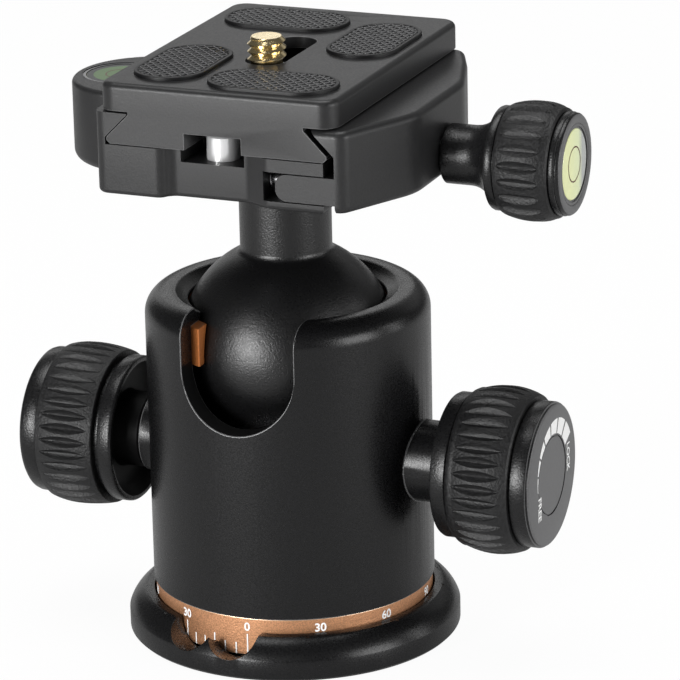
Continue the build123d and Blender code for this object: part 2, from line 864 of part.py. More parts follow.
# ================================================================ clamp
with BuildPart() as level_boss:
    with BuildSketch(Plane.XY.offset(clamp_bottom)):
        with Locations(level_boss_place):
            Circle(level_boss_radius)
    extrude(amount=clamp_height)
    fillet(level_boss.edges().group_by(Axis.Z)[0], level_boss_edge)
    fillet(level_boss.edges().group_by(Axis.Z)[-1], clamp_edge)

with BuildPart() as clamp_body:
    with BuildSketch(Plane.XZ):
        with BuildLine():
            Polyline(
                (clamp_left, clamp_bottom),
                (clamp_right, clamp_bottom),
                (clamp_right, clamp_floor),
                (0, clamp_floor),
                (0, clamp_top),
                (clamp_left, clamp_top),
                close=True,
            )
        make_face()
    extrude(amount=clamp_length / 2, both=True)
    with BuildSketch() as clamp_plan:
        with BuildLine():
            waist_line = [
                (waist_left - waist_slope_left, clamp_front),
                (waist_left, clamp_front + waist_depth),
                (waist_right, clamp_front + waist_depth),
                (waist_right + waist_slope_right, clamp_front),
            ]
            Polyline(
                (clamp_left, clamp_front),
                *waist_line,
                (clamp_right, clamp_front),
                (clamp_right, clamp_back),
                *[(x, -y) for x, y in reversed(waist_line)],
                (clamp_left, clamp_back),
                close=True,
            )
        make_face()
        fillet(clamp_plan.vertices().filter_by(lambda v: v.X < clamp_right), waist_radius)
    extrude(amount=clamp_top, mode=Mode.INTERSECT)
    fillet(clamp_body.faces().sort_by(Axis.Z)[0].outer_wire().edges(), clamp_edge)
    add(level_boss.part)
    with BuildSketch(Plane.XZ):
        with BuildLine():
            Polyline(
                (-dovetail_neck - jaw_fit, clamp_top),
                (-dovetail_neck - jaw_fit, dovetail_high),
                (-dovetail_half_width - jaw_fit, dovetail_low),
                (-dovetail_half_width - jaw_fit, clamp_floor),
                (clamp_right, clamp_floor),
                (clamp_right, clamp_top),
                close=True,
            )
        make_face()
        with Locations((tongue_slot_start, tongue_slot_low)):
            Rectangle(clamp_right, tongue_slot_height, align=(Align.MIN, Align.MIN))
    extrude(amount=clamp_length, both=True, mode=Mode.SUBTRACT)
    with BuildSketch(Plane.XY.offset(tongue_slot_low)):
        with Locations((tongue_slot_start, 0)):
            Rectangle(
                lug_reach - tongue_slot_start,
                2 * lug_half_width,
                align=(Align.MIN, Align.CENTER),
            )
    extrude(amount=tongue_slot_height)
    with BuildSketch(Plane.YZ.offset(clamp_screw_bore)):
        with Locations((0, clamp_screw_height)):
            Circle(clamp_screw_radius + thread_fit)
    extrude(amount=clamp_right, mode=Mode.SUBTRACT)
    with BuildSketch(Plane.YZ.offset(spring_pocket_start)):
        with Locations(*spring_places):
            Circle(spring_pocket_radius)
    extrude(amount=tongue_slot_start - spring_pocket_start, mode=Mode.SUBTRACT)
    with BuildSketch(Plane.XY.offset(clamp_floor - stop_recess_depth)):
        with Locations((stop_pin_place[0], clamp_front)):
            Rectangle(
                2 * stop_recess_half_width,
                2 * (stop_pin_place[1] - clamp_front + stop_pin_radius + stop_recess_room),
            )
    extrude(amount=clamp_height, mode=Mode.SUBTRACT)
    with BuildSketch(Plane.XY.offset(clamp_bottom)):
        with Locations(stop_pin_place):
            Circle(stop_flange_radius + running_fit)
    extrude(amount=stop_pin_rise + stop_flange_thickness + face_gap, mode=Mode.SUBTRACT)
    with BuildSketch(Plane.XY.offset(stop_pin_low)):
        with Locations(stop_pin_place):
            Circle(stop_pin_radius + running_fit)
    extrude(amount=clamp_height, mode=Mode.SUBTRACT)
    with BuildSketch(Plane.XY.offset(clamp_top - level_depth)):
        with Locations(level_place):
            Circle(bezel_radius + press_gap)
    extrude(amount=clamp_height, mode=Mode.SUBTRACT)
    with BuildSketch(Plane.XY.offset(clamp_bottom)):
        Circle(clamp_bolt_radius + running_fit)
    extrude(amount=clamp_height, mode=Mode.SUBTRACT)
    with BuildSketch(Plane.XY.offset(clamp_bolt_high)):
        Circle(clamp_bolt_head_radius + running_fit)
    extrude(
        amount=-(clamp_bolt_head_radius - clamp_bolt_radius), taper=45, mode=Mode.SUBTRACT
    )
    with BuildSketch(Plane.XY.offset(clamp_bolt_high)):
        Circle(clamp_bolt_head_radius + running_fit)
    extrude(amount=clamp_height, mode=Mode.SUBTRACT)

with BuildPart() as clamp_bolt:
    with BuildSketch(Plane.XY.offset(clamp_bolt_low)):
        Circle(clamp_bolt_radius)
    extrude(amount=clamp_bolt_length)
    with BuildSketch(Plane.XY.offset(clamp_bolt_high)):
        Circle(clamp_bolt_head_radius)
    extrude(amount=-(clamp_bolt_head_radius - clamp_bolt_radius), taper=45)
    with BuildSketch(Plane.XY.offset(clamp_bolt_high)):
        RegularPolygon(clamp_hex_radius, 6)
    extrude(amount=-clamp_hex_depth, mode=Mode.SUBTRACT)

with BuildPart() as level_bezel:
    with BuildSketch(Plane.XY.offset(clamp_top - level_depth)):
        with Locations(level_place):
            Circle(bezel_radius)
    extrude(amount=level_depth - face_gap)
    with BuildSketch(Plane.XY.offset(clamp_top - level_depth + bezel_floor)):
        with Locations(level_place):
            Circle(vial_radius + press_gap)
    extrude(amount=level_depth, mode=Mode.SUBTRACT)

with BuildPart() as level_vial:
    with BuildSketch(Plane.XY.offset(clamp_top - level_depth + bezel_floor)):
        with Locations(level_place):
            Circle(vial_radius)
    extrude(amount=level_depth - bezel_floor - 2 * face_gap)
    chamfer(level_vial.edges().group_by(Axis.Z)[-1], vial_edge)

with BuildPart() as stop_pin:
    with BuildSketch(Plane.XY.offset(stop_pin_low)):
        with Locations(stop_pin_place):
            Circle(stop_pin_radius)
    extrude(amount=stop_pin_length)
    chamfer(stop_pin.edges().group_by(Axis.Z)[-1], stop_pin_edge)
    with BuildSketch(Plane.XY.offset(stop_pin_low)):
        with Locations(stop_pin_place):
            Circle(stop_flange_radius)
    extrude(amount=stop_flange_thickness)
    with BuildSketch(Plane.XY.offset(stop_pin_low)):
        with Locations(stop_pin_place):
            Circle(stop_spring_radius + spring_wire + running_fit)
    extrude(amount=stop_bore_depth, mode=Mode.SUBTRACT)

with BuildPart() as stop_plug:
    with BuildSketch(Plane.XY.offset(clamp_bottom)):
        with Locations(stop_pin_place):
            Circle(stop_flange_radius + running_fit - press_gap)
    extrude(amount=stop_plug_thickness)

with BuildPart() as stop_spring:
    coil_low = clamp_bottom + stop_plug_thickness + spring_wire
    coil_high = stop_pin_low + stop_bore_depth - spring_wire
    with BuildLine() as stop_coil:
        Helix(
            spring_pitch, coil_high - coil_low, stop_spring_radius, center=(*stop_pin_place, coil_low)
        )
    with BuildSketch(Plane(origin=stop_coil.line @ 0, z_dir=stop_coil.line % 0)):
        Circle(spring_wire)
    sweep(path=stop_coil.line, is_frenet=True)

with BuildPart() as jaw_springs:
    coil_start = spring_pocket_start + spring_wire
    coil_length = spring_reach - spring_wire - coil_start
    for y, z in spring_places:
        with BuildLine() as jaw_coil:
            Helix(
                spring_pitch,
                coil_length,
                spring_radius,
                center=(coil_start, y, z),
                direction=(1, 0, 0),
            )
        with BuildSketch(Plane(origin=jaw_coil.line @ 0, z_dir=jaw_coil.line % 0)):
            Circle(spring_wire)
        sweep(path=jaw_coil.line, is_frenet=True)

with BuildPart() as jaw:
    with BuildSketch(Plane.XZ):
        with BuildLine():
            Polyline(
                (tongue_start, tongue_low),
                (jaw_wall, tongue_low),
                (jaw_wall, clamp_bottom + jaw_lift),
                (jaw_reach, clamp_bottom + jaw_lift),
                (jaw_reach, clamp_top),
                (dovetail_neck + jaw_opening, clamp_top),
                (dovetail_neck + jaw_opening, dovetail_high),
                (jaw_wall, dovetail_low),
                (jaw_wall, tongue_high),
                (tongue_start, tongue_high),
                close=True,
            )
        make_face()
    extrude(amount=clamp_length / 2, both=True)
    with BuildSketch() as jaw_plan:
        with BuildLine():
            jaw_flank = [(jaw_reach - inward, clamp_front + along) for inward, along in jaw_front_taper]
            jaw_flank += [(jaw_reach - inward, clamp_back - along) for inward, along in jaw_back_taper]
            Polyline((tongue_start, clamp_front), *jaw_flank, (tongue_start, clamp_back), close=True)
        make_face()
        flank_points = jaw_plan.vertices().filter_by(lambda v: v.X > jaw_wall).sort_by(Axis.Y)
        fillet([flank_points[0], flank_points[-1]], jaw_corner_radius)
        bends = jaw_plan.vertices().filter_by(lambda v: v.X > jaw_reach - jaw_edge_start)
        fillet(bends, jaw_bend_radius)
    extrude(amount=clamp_top, mode=Mode.INTERSECT)
    fillet(jaw.edges().group_by(Axis.X)[0].filter_by(Axis.Y), tongue_end_radius)
    outer_edges = jaw.edges().group_by(Axis.Z)
    jaw_rim = (outer_edges[0] + outer_edges[-1]).filter_by(
        lambda edge: edge.center().X > jaw_wall + jaw_edge_start
    )
    fillet(jaw_rim, jaw_edge)
    with BuildSketch():
        Rectangle(
            lug_reach + jaw_window_gap,
            2 * (lug_half_width + face_gap),
            align=(Align.MIN, Align.CENTER),
        )
    extrude(amount=clamp_top, mode=Mode.SUBTRACT)
    with BuildSketch(Plane.YZ):
        with Locations((0, clamp_screw_height)):
            Circle(clamp_screw_radius + running_fit)
    extrude(amount=2 * jaw_reach, mode=Mode.SUBTRACT)
    with BuildSketch(Plane.YZ):
        with Locations(*spring_places):
            Circle(spring_pin_radius + press_gap)
    extrude(amount=spring_pin_end, mode=Mode.SUBTRACT)

with BuildPart() as spring_pins:
    with BuildSketch(Plane.YZ.offset(spring_pin_start)):
        with Locations(*spring_places):
            Circle(spring_pin_radius)
    extrude(amount=spring_pin_end - spring_pin_start)

# ================================================================ clamp knob
with BuildPart() as clamp_screw:
    with BuildSketch(Plane.YZ.offset(clamp_screw_tip)):
        with Locations((0, clamp_screw_height)):
            Circle(clamp_screw_radius)
    extrude(amount=clamp_hub_end - clamp_screw_tip)
    chamfer(clamp_screw.edges().group_by(Axis.X)[0], clamp_screw_edge)

with BuildPart() as clamp_knob_grip:
    with BuildSketch(Plane.XZ):
        with BuildLine():
            clamp_grip_line = about(
                clamp_screw_height,
                (clamp_flange_start, clamp_flange_radius),
                (clamp_grip_start, clamp_flange_radius),
                (clamp_grip_start, clamp_grip_root),
            )
            clamp_core_line = about(
                clamp_screw_height,
                (clamp_grip_end, clamp_grip_tail),
                (clamp_grip_end, clamp_spigot_radius + press_gap),
                (clamp_spigot_start, clamp_spigot_radius + press_gap),
                (clamp_spigot_start, clamp_recess_radius),
                (clamp_hub_end, clamp_recess_radius),
                (clamp_hub_end, clamp_screw_radius + press_gap),
                (clamp_knob_start, clamp_screw_radius + press_gap),
                (clamp_knob_start, clamp_neck_radius),
                (clamp_flare_start, clamp_neck_radius),
            )
            clamp_grip_middle = (clamp_grip_widest, clamp_screw_height + clamp_grip_radius)
            Polyline(*clamp_grip_line)
            ThreePointArc(clamp_grip_line[-1], clamp_grip_middle, clamp_core_line[0])
            Polyline(*clamp_core_line)
            TangentArc(clamp_core_line[-1], clamp_grip_line[0], tangent=(1, 0))
        make_face()
    revolve(axis=CLAMP_AXIS)

with BuildPart() as clamp_knob_cap:
    with BuildSketch(Plane.XZ):
        with BuildLine():
            clamp_cap_line = about(
                clamp_screw_height,
                (clamp_spigot_start, 0),
                (clamp_spigot_start, clamp_spigot_radius),
                (clamp_grip_end, clamp_spigot_radius),
                (clamp_grip_end, clamp_cap_radius),
                (clamp_knob_face - 2 * knob_groove, clamp_cap_radius),
                (clamp_knob_face, clamp_face_radius),
                (clamp_knob_face, bezel_radius + press_gap),
                (clamp_knob_face - level_depth, bezel_radius + press_gap),
                (clamp_knob_face - level_depth, 0),
            )
            Polyline(*clamp_cap_line, close=True)
        make_face()
    revolve(axis=CLAMP_AXIS)

with BuildPart() as knob_level_bezel:
    with BuildSketch(Plane.YZ.offset(clamp_knob_face - level_depth)):
        with Locations((0, clamp_screw_height)):
            Circle(bezel_radius)
    extrude(amount=level_depth - face_gap)
    with BuildSketch(Plane.YZ.offset(clamp_knob_face - level_depth + bezel_floor)):
        with Locations((0, clamp_screw_height)):
            Circle(vial_radius + press_gap)
    extrude(amount=level_depth, mode=Mode.SUBTRACT)

with BuildPart() as knob_level_vial:
    with BuildSketch(Plane.YZ.offset(clamp_knob_face - level_depth + bezel_floor)):
        with Locations((0, clamp_screw_height)):
            Circle(vial_radius)
    extrude(amount=level_depth - bezel_floor - 2 * face_gap)
    chamfer(knob_level_vial.edges().group_by(Axis.X)[-1], vial_edge)

# ================================================================ quick-release plate
with BuildPart() as plate:
    with BuildSketch(Plane.XZ.offset(-plate_centre)):
        with BuildLine():
            right_side = [
                (dovetail_half_width - dovetail_edge, plate_bottom),
                (dovetail_half_width, plate_bottom + dovetail_edge),
                (dovetail_half_width, dovetail_low),
                (dovetail_neck, dovetail_high),
                (dovetail_neck, plate_flange_bottom),
                (plate_width / 2, plate_flange_bottom),
                (plate_width / 2, plate_top),
            ]
            left_side = [(-x, z) for x, z in reversed(right_side)]
            Polyline(*right_side, *left_side, close=True)
        make_face()
    extrude(amount=plate_length / 2, both=True)
    flange_corners = plate.edges().filter_by(Axis.Z).filter_by(
        lambda edge: abs(edge.center().X) > dovetail_half_width + dovetail_edge
    )
    fillet(flange_corners, plate_corner)
    fillet(plate.faces().sort_by(Axis.Z)[-1].outer_wire().edges(), plate_edge)
    with BuildSketch(Plane.XY.offset(plate_bottom)):
        SlotOverall(2 * slot_half_length, 2 * slot_half_width, rotation=90)
    extrude(amount=plate_thickness, mode=Mode.SUBTRACT)
    with BuildSketch(Plane.XY.offset(plate_bottom)):
        SlotOverall(2 * cavity_half_length, 2 * cavity_half_width, rotation=90)
    extrude(amount=ledge_bottom - plate_bottom, mode=Mode.SUBTRACT)
    with BuildSketch(Plane.XY.offset(plate_bottom)):
        with Locations((groove_centre, groove_end)):
            Rectangle(2 * groove_half_width, plate_length, align=(Align.CENTER, Align.MAX))
    extrude(amount=groove_height, mode=Mode.SUBTRACT)
    with BuildSketch(Plane.XY.offset(plate_top - pad_seat)):
        with Locations(*pad_places.values()):
            SlotOverall(pad_length + 2 * press_gap, pad_width + 2 * press_gap)
    extrude(amount=plate_thickness, mode=Mode.SUBTRACT)

with BuildPart() as screw_slider:
    with BuildSketch(Plane.XY.offset(slider_top - slider_thickness)):
        with Locations((0, screw_place)):
            Circle(slider_radius)
            Circle(screw_neck_radius + running_fit, mode=Mode.SUBTRACT)
    extrude(amount=slider_thickness)

with BuildPart() as camera_screw:
    with BuildSketch(Plane.XY.offset(screw_head_top - screw_head_thickness)):
        with Locations((0, screw_place)):
            Circle(screw_head_radius)
    extrude(amount=screw_head_thickness)
    with BuildSketch(Plane.XY.offset(screw_head_top)):
        with Locations((0, screw_place)):
            Circle(screw_neck_radius)
    extrude(amount=plate_top + face_gap - screw_head_top)
    with BuildSketch(Plane.XY.offset(plate_top + face_gap)):
        with Locations((0, screw_place)):
            Circle(camera_thread_radius)
    extrude(amount=screw_reach - face_gap)
    chamfer(camera_screw.edges().group_by(Axis.Z)[-1], screw_edge)
    with BuildSketch(Plane.XY.offset(screw_head_top - screw_head_thickness)):
        with Locations((0, screw_place)):
            Rectangle(2 * screw_head_radius, coin_slot_width)
    extrude(amount=screw_head_thickness / 2, mode=Mode.SUBTRACT)

for name, place in pad_places.items():
    with BuildPart() as pad:
        with BuildSketch(Plane.XY.offset(plate_top - pad_seat)):
            with Locations(place):
                SlotOverall(pad_length, pad_width)
        extrude(amount=pad_seat + pad_height)
        chamfer(pad.edges().group_by(Axis.Z)[-1], pad_edge)
    pad.part.label = name
    export_step(pad.part, f"parts/{name}.step")

# ================================================================ files, one for each piece
pieces = {
    "pan_base": pan_base,
    "thread_insert": thread_insert,
    "reducer_bushing": reducer_bushing,
    "pan_washer": pan_washer,
    "pan_pivot": pan_pivot,
    "base_screws": base_screws,
    "housing": housing,
    "scale_ring": scale_ring,
    "floor_plate": floor_plate,
    "glide_washer": glide_washer,
    "seat_ring": seat_ring,
    "guide_block": guide_block,
    "lock_bush": lock_bush,
    "brake_bush": brake_bush,
    "ball": ball,
    "lower_seat": lower_seat,
    "lock_wedge": lock_wedge,
    "brake_pin": brake_pin,
    "lock_screw": lock_screw,
    "lock_knob_hub": lock_knob_hub,
    "lock_knob_grip": lock_knob_grip,
    "lock_knob_screw": lock_knob_screw,
    "lock_knob_cap": lock_knob_cap,
    "brake_screw": brake_screw,
    "pan_knob_hub": pan_knob_hub,
    "pan_knob_grip": pan_knob_grip,
    "pan_knob_screw": pan_knob_screw,
    "pan_knob_cap": pan_knob_cap,
    "clamp_body": clamp_body,
    "clamp_bolt": clamp_bolt,
    "level_bezel": level_bezel,
    "level_vial": level_vial,
    "stop_pin": stop_pin,
    "stop_plug": stop_plug,
    "stop_spring": stop_spring,
    "jaw": jaw,
    "jaw_springs": jaw_springs,
    "spring_pins": spring_pins,
    "clamp_screw": clamp_screw,
    "clamp_knob_grip": clamp_knob_grip,
    "clamp_knob_cap": clamp_knob_cap,
    "knob_level_bezel": knob_level_bezel,
    "knob_level_vial": knob_level_vial,
    "plate": plate,
    "screw_slider": screw_slider,
    "camera_screw": camera_screw,
}
for name, piece in pieces.items():
    piece.part.label = name
    export_step(piece.part, f"parts/{name}.step")
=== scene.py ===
import json
import math

import bmesh
import bpy
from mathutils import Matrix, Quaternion, Vector

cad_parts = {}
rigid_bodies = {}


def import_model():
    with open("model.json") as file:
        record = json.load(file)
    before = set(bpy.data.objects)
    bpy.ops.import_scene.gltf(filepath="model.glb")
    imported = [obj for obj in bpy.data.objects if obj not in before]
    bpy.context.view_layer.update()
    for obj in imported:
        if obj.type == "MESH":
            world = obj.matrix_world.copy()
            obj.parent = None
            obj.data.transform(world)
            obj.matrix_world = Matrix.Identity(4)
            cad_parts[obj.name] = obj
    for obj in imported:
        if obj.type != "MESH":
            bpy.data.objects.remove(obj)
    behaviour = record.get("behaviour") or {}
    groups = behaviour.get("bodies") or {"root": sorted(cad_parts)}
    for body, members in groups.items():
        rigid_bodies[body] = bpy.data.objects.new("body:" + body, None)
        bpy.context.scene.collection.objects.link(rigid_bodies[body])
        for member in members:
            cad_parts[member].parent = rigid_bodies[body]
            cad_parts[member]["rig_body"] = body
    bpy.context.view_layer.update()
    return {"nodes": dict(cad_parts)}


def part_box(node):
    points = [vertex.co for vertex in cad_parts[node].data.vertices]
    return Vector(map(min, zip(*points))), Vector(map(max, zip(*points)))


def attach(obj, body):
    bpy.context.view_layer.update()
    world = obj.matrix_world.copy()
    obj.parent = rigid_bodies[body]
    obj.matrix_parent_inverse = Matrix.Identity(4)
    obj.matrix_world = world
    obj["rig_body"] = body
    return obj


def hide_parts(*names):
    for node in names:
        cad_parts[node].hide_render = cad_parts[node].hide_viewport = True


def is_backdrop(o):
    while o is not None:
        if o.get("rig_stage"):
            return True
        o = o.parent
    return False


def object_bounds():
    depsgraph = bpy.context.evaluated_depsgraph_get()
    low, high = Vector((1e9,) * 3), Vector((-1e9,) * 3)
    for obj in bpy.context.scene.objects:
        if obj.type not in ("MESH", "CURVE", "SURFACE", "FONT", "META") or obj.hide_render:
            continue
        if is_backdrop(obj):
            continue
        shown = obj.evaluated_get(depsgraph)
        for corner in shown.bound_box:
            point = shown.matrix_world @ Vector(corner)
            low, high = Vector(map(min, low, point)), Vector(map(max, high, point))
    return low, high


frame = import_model()
scene = bpy.context.scene
mm = 0.001
turn = math.tau
weld = 0.0005  # most that the doubled points of a full spin lie apart, in millimetres


def middle(nodeName):
    low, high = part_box(nodeName)
    return (low + high) / 2 / mm


def linked(name, data):
    thing = bpy.data.objects.new(name, data)
    scene.collection.objects.link(thing)
    return thing


# Heights of the three knobs' axes, in millimetres as all sizes up to the camera
lockAxis = middle("lock_knob_grip").z
brakeAxis = middle("pan_knob_grip").z
clampAxis = middle("clamp_knob_grip").z

# Finishes
socketOf = {
    "rough": "Roughness",
    "metal": "Metallic",
    "specular": "Specular IOR Level",
    "coat": "Coat Weight",
    "coatRough": "Coat Roughness",
}
shadeSpan = (0.35, 0.65)  # stretch of the noise that turns the colour
polishSpan = (0.3, 0.7)  # stretch of the noise that turns the roughness


def newFinish(name, colour, **values):
    finish = bpy.data.materials.new(name)
    finish.use_nodes = True
    shader = finish.node_tree.nodes["Principled BSDF"]
    shader.inputs["Base Color"].default_value = (*colour, 1)
    for word, value in values.items():
        shader.inputs[socketOf[word]].default_value = value
    return finish


# A fine noise that lifts the surface by depth and swings its colour and its roughness
def grain(finish, size, depth, shade=0.0, polish=0.0, detail=2.0):
    tree = finish.node_tree
    shader = tree.nodes["Principled BSDF"]
    coordinates = tree.nodes.new("ShaderNodeTexCoord")
    noise = tree.nodes.new("ShaderNodeTexNoise")
    noise.inputs["Scale"].default_value = 1 / (size * mm)
    noise.inputs["Detail"].default_value = detail
    tree.links.new(coordinates.outputs["Object"], noise.inputs["Vector"])
    bump = tree.nodes.new("ShaderNodeBump")
    bump.inputs["Distance"].default_value = depth * mm
    tree.links.new(noise.outputs["Fac"], bump.inputs["Height"])
    tree.links.new(bump.outputs["Normal"], shader.inputs["Normal"])
    if shade:
        ramp = tree.nodes.new("ShaderNodeValToRGB")
        plain = shader.inputs["Base Color"].default_value[:3]
        gains = (1 - shade, 1 + shade)
        for point, position, gain in zip(ramp.color_ramp.elements, shadeSpan, gains):
            point.position = position
            point.color = (*(min(gain * part, 1) for part in plain), 1)
        tree.links.new(noise.outputs["Fac"], ramp.inputs["Fac"])
        tree.links.new(ramp.outputs["Color"], shader.inputs["Base Color"])
    if polish:
        span = tree.nodes.new("ShaderNodeMapRange")
        plain = shader.inputs["Roughness"].default_value
        span.inputs["From Min"].default_value = polishSpan[0]
        span.inputs["From Max"].default_value = polishSpan[1]
        span.inputs["To Min"].default_value = plain - polish
        span.inputs["To Max"].default_value = plain + polish
        tree.links.new(noise.outputs["Fac"], span.inputs["Value"])
        tree.links.new(span.outputs["Result"], shader.inputs["Roughness"])
    return finish


# Colours across a level's face, as stops of a position and a colour: painted light and shade across
# the liquid
def shadedAcross(finish, reach, first, last, between):
    tree = finish.node_tree
    coordinates = tree.nodes.new("ShaderNodeTexCoord")
    parts = tree.nodes.new("ShaderNodeSeparateXYZ")
    span = tree.nodes.new("ShaderNodeMapRange")
    span.inputs["From Min"].default_value = -reach * mm
    span.inputs["From Max"].default_value = reach * mm
    ramp = tree.nodes.new("ShaderNodeValToRGB")
    for point, (position, colour) in zip(ramp.color_ramp.elements, (first, last)):
        point.position = position
        point.color = (*colour, 1)
    position, colour = between
    ramp.color_ramp.elements.new(position).color = (*colour, 1)
    shader = tree.nodes["Principled BSDF"]
    tree.links.new(coordinates.outputs["Object"], parts.inputs["Vector"])
    tree.links.new(parts.outputs["Y"], span.inputs["Value"])
    tree.links.new(span.outputs["Result"], ramp.inputs["Fac"])
    tree.links.new(ramp.outputs["Color"], shader.inputs["Base Color"])
    return finish


# Blacks
satinBlack = grain(
    newFinish("satinBlack", (0.005, 0.005, 0.0054), rough=0.29, specular=0.35),
    size=0.3, depth=0.016, shade=0.2, polish=0.05,
)
ballBlack = grain(
    newFinish("ballBlack", (0.004, 0.004, 0.0043), rough=0.32, specular=0.5),
    size=0.28, depth=0.055, polish=0.06, detail=4.0,
)
knobSatin = grain(
    newFinish("knobSatin", (0.007, 0.007, 0.0074), rough=0.3, specular=0.35),
    size=0.3, depth=0.04, shade=0.2, polish=0.05,
)
knobFace = grain(
    newFinish("knobFace", (0.11, 0.11, 0.112), rough=0.4, specular=0.5),
    size=0.3, depth=0.016, shade=0.15, polish=0.05,
)
gripRubber = grain(
    newFinish("gripRubber", (0.006, 0.006, 0.0064), rough=0.5, specular=0.42),
    size=0.4, depth=0.12, shade=0.6, polish=0.08,
)
plateBlack = grain(
    newFinish("plateBlack", (0.016, 0.016, 0.0165), rough=0.4, specular=0.38),
    size=0.3, depth=0.012, shade=0.15, polish=0.05,
)
padRubber = grain(
    newFinish("padRubber", (0.004, 0.004, 0.0044), rough=0.45, specular=0.4),
    size=0.18, depth=0.01, shade=0.25,
)
# painted highlight: the pad ribs in a lighter rubber than the pad, for the light along the rib tops
ribRubberPaintedHighlight = grain(
    newFinish("ribRubberPaintedHighlight", (0.06, 0.06, 0.062), rough=0.38, specular=0.6),
    size=0.18, depth=0.006, shade=0.2,
)
# painted shade: a darker, less glossy black for the housing's inner wall and the pan knob's dish,
# where shade falls
paintedShadeBlack = newFinish("paintedShadeBlack", (0.003, 0.003, 0.0032), rough=0.5, specular=0.15)
bezelBlack = newFinish("bezelBlack", (0.05, 0.05, 0.052), rough=0.3, coat=0.3)
# painted highlight: a lighter grey for the bevels of the black pieces
paintedEdgeHighlight = newFinish("paintedEdgeHighlight", (0.11, 0.11, 0.112), rough=0.36, specular=0.6)

# Metals
copper = grain(
    newFinish("copper", (0.6, 0.3, 0.155), metal=0.7, rough=0.4),
    size=0.22, depth=0.04, shade=0.2, polish=0.05,
)
# painted highlight: a bright copper for the degree ring's bevelled edges
paintedCopperHighlight = newFinish("paintedCopperHighlight", (0.95, 0.68, 0.48), metal=1.0, rough=0.4)
plainAluminium = grain(
    newFinish("plainAluminium", (0.72, 0.72, 0.73), metal=1.0, rough=0.34),
    size=0.3, depth=0.003, polish=0.06,
)
plainSteel = grain(
    newFinish("plainSteel", (0.55, 0.55, 0.56), metal=1.0, rough=0.3),
    size=0.3, depth=0.003, polish=0.06,
)
chrome = newFinish("chrome", (0.95, 0.95, 0.96), metal=0.65, rough=0.22)
brass = grain(
    newFinish("brass", (0.86, 0.7, 0.4), metal=1.0, rough=0.2),
    size=0.4, depth=0.006, polish=0.06,
)

# Plastics, marks and the levels' liquid
seatOrange = grain(
    newFinish("seatOrange", (0.5, 0.165, 0.045), rough=0.45, specular=0.4),
    size=0.5, depth=0.006, shade=0.08,
)
bearingWhite = newFinish("bearingWhite", (0.75, 0.75, 0.72), rough=0.45)
markWhite = newFinish("markWhite", (0.98, 0.98, 0.97), rough=0.5)
# painted light and shade: the liquid pale yellow-green on one side of the face and grey on the
# other
liquid = shadedAcross(
    newFinish("liquid", (0.42, 0.5, 0.2), rough=0.12, coat=1.0, coatRough=0.04),
    reach=5.5,
    first=(0.3, (0.95, 1.0, 0.45)),
    last=(0.85, (0.4, 0.42, 0.4)),
    between=(0.68, (0.85, 0.94, 0.5)),
)
# painted shade: a darker copy of the liquid for the clamp's level, which sits partly under the
# plate
liquidPaintedShade = newFinish("liquidPaintedShade", (0.12, 0.2, 0.09), rough=0.4, specular=0.3)
greyRim = newFinish("greyRim", (0.03, 0.034, 0.034), rough=0.4)
levelLine = newFinish("levelLine", (0.1, 0.03, 0.015), rough=0.4)

finishOfSlot = {
    "black_anodised": satinBlack,
    "ball_black": ballBlack,
    "knob_rubber": gripRubber,
    "knob_face": knobFace,
    "scale_copper": copper,
    "seat_orange": seatOrange,
    "bearing_plastic": bearingWhite,
    "plain_aluminium": plainAluminium,
    "steel": plainSteel,
    "pin_chrome": chrome,
    "brass": brass,
    "bezel_black": bezelBlack,
    "level_glass": liquid,
    "pad_rubber": padRubber,
}
slotOfNode = {}
for nodeName, node in frame["nodes"].items():
    slotOfNode[nodeName] = node.material_slots[0].material.name.split(".")[0]
    node.data.materials[0] = finishOfSlot[slotOfNode[nodeName]]
print("finishes done")


# A bevel is a dict of its width and segments, with an edge finish that paints a highlight on the
# bevel faces, or a clamp if it needs one
def finished(mesh, name, finish, body, nodes=(), crease=32, bevel=None):
    if isinstance(mesh, bmesh.types.BMesh):
        work, mesh = mesh, bpy.data.meshes.new(name)
        work.normal_update()
        work.to_mesh(mesh)
        work.free()
    mesh.polygons.foreach_set("use_smooth", [True] * len(mesh.polygons))
    mesh.set_sharp_from_angle(angle=math.radians(crease))
    mesh.materials.clear()
    mesh.materials.append(finish)
    piece = linked(name, mesh)
    if bevel:
        softener = piece.modifiers.new("edges", "BEVEL")
        softener.limit_method = "ANGLE"
        softener.angle_limit = math.radians(crease)
        softener.width = bevel["width"] * mm
        softener.segments = bevel["segments"]
        softener.use_clamp_overlap = bevel.get("clamp", True)
        softener.harden_normals = True
        if "edge" in bevel:
            mesh.materials.append(bevel["edge"])
            softener.material = 1
    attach(piece, body)
    if nodes:
        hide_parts(*nodes)
    return piece


# Gives the chosen faces of a piece a second finish
def partly(piece, finish, chosen):
    piece.data.materials.append(finish)
    for polygon in piece.data.polygons:
        if chosen(polygon):
            polygon.material_index = len(piece.data.materials) - 1


# Spins a line of points, in metres, a full turn round an axis
def turned(points, centre, axis, steps, closed=False):
    work = bmesh.new()
    line = [work.verts.new(point) for point in points]
    edges = [work.edges.new(pair) for pair in zip(line, line[1:])]
    if closed:
        edges.append(work.edges.new((line[-1], line[0])))
    bmesh.ops.spin(
        work,
        geom=line + edges,
        cent=centre,
        axis=axis,
        angle=turn,
        steps=steps,
        use_merge=True,
    )
    bmesh.ops.remove_doubles(work, verts=work.verts, dist=weld * mm)
    return work


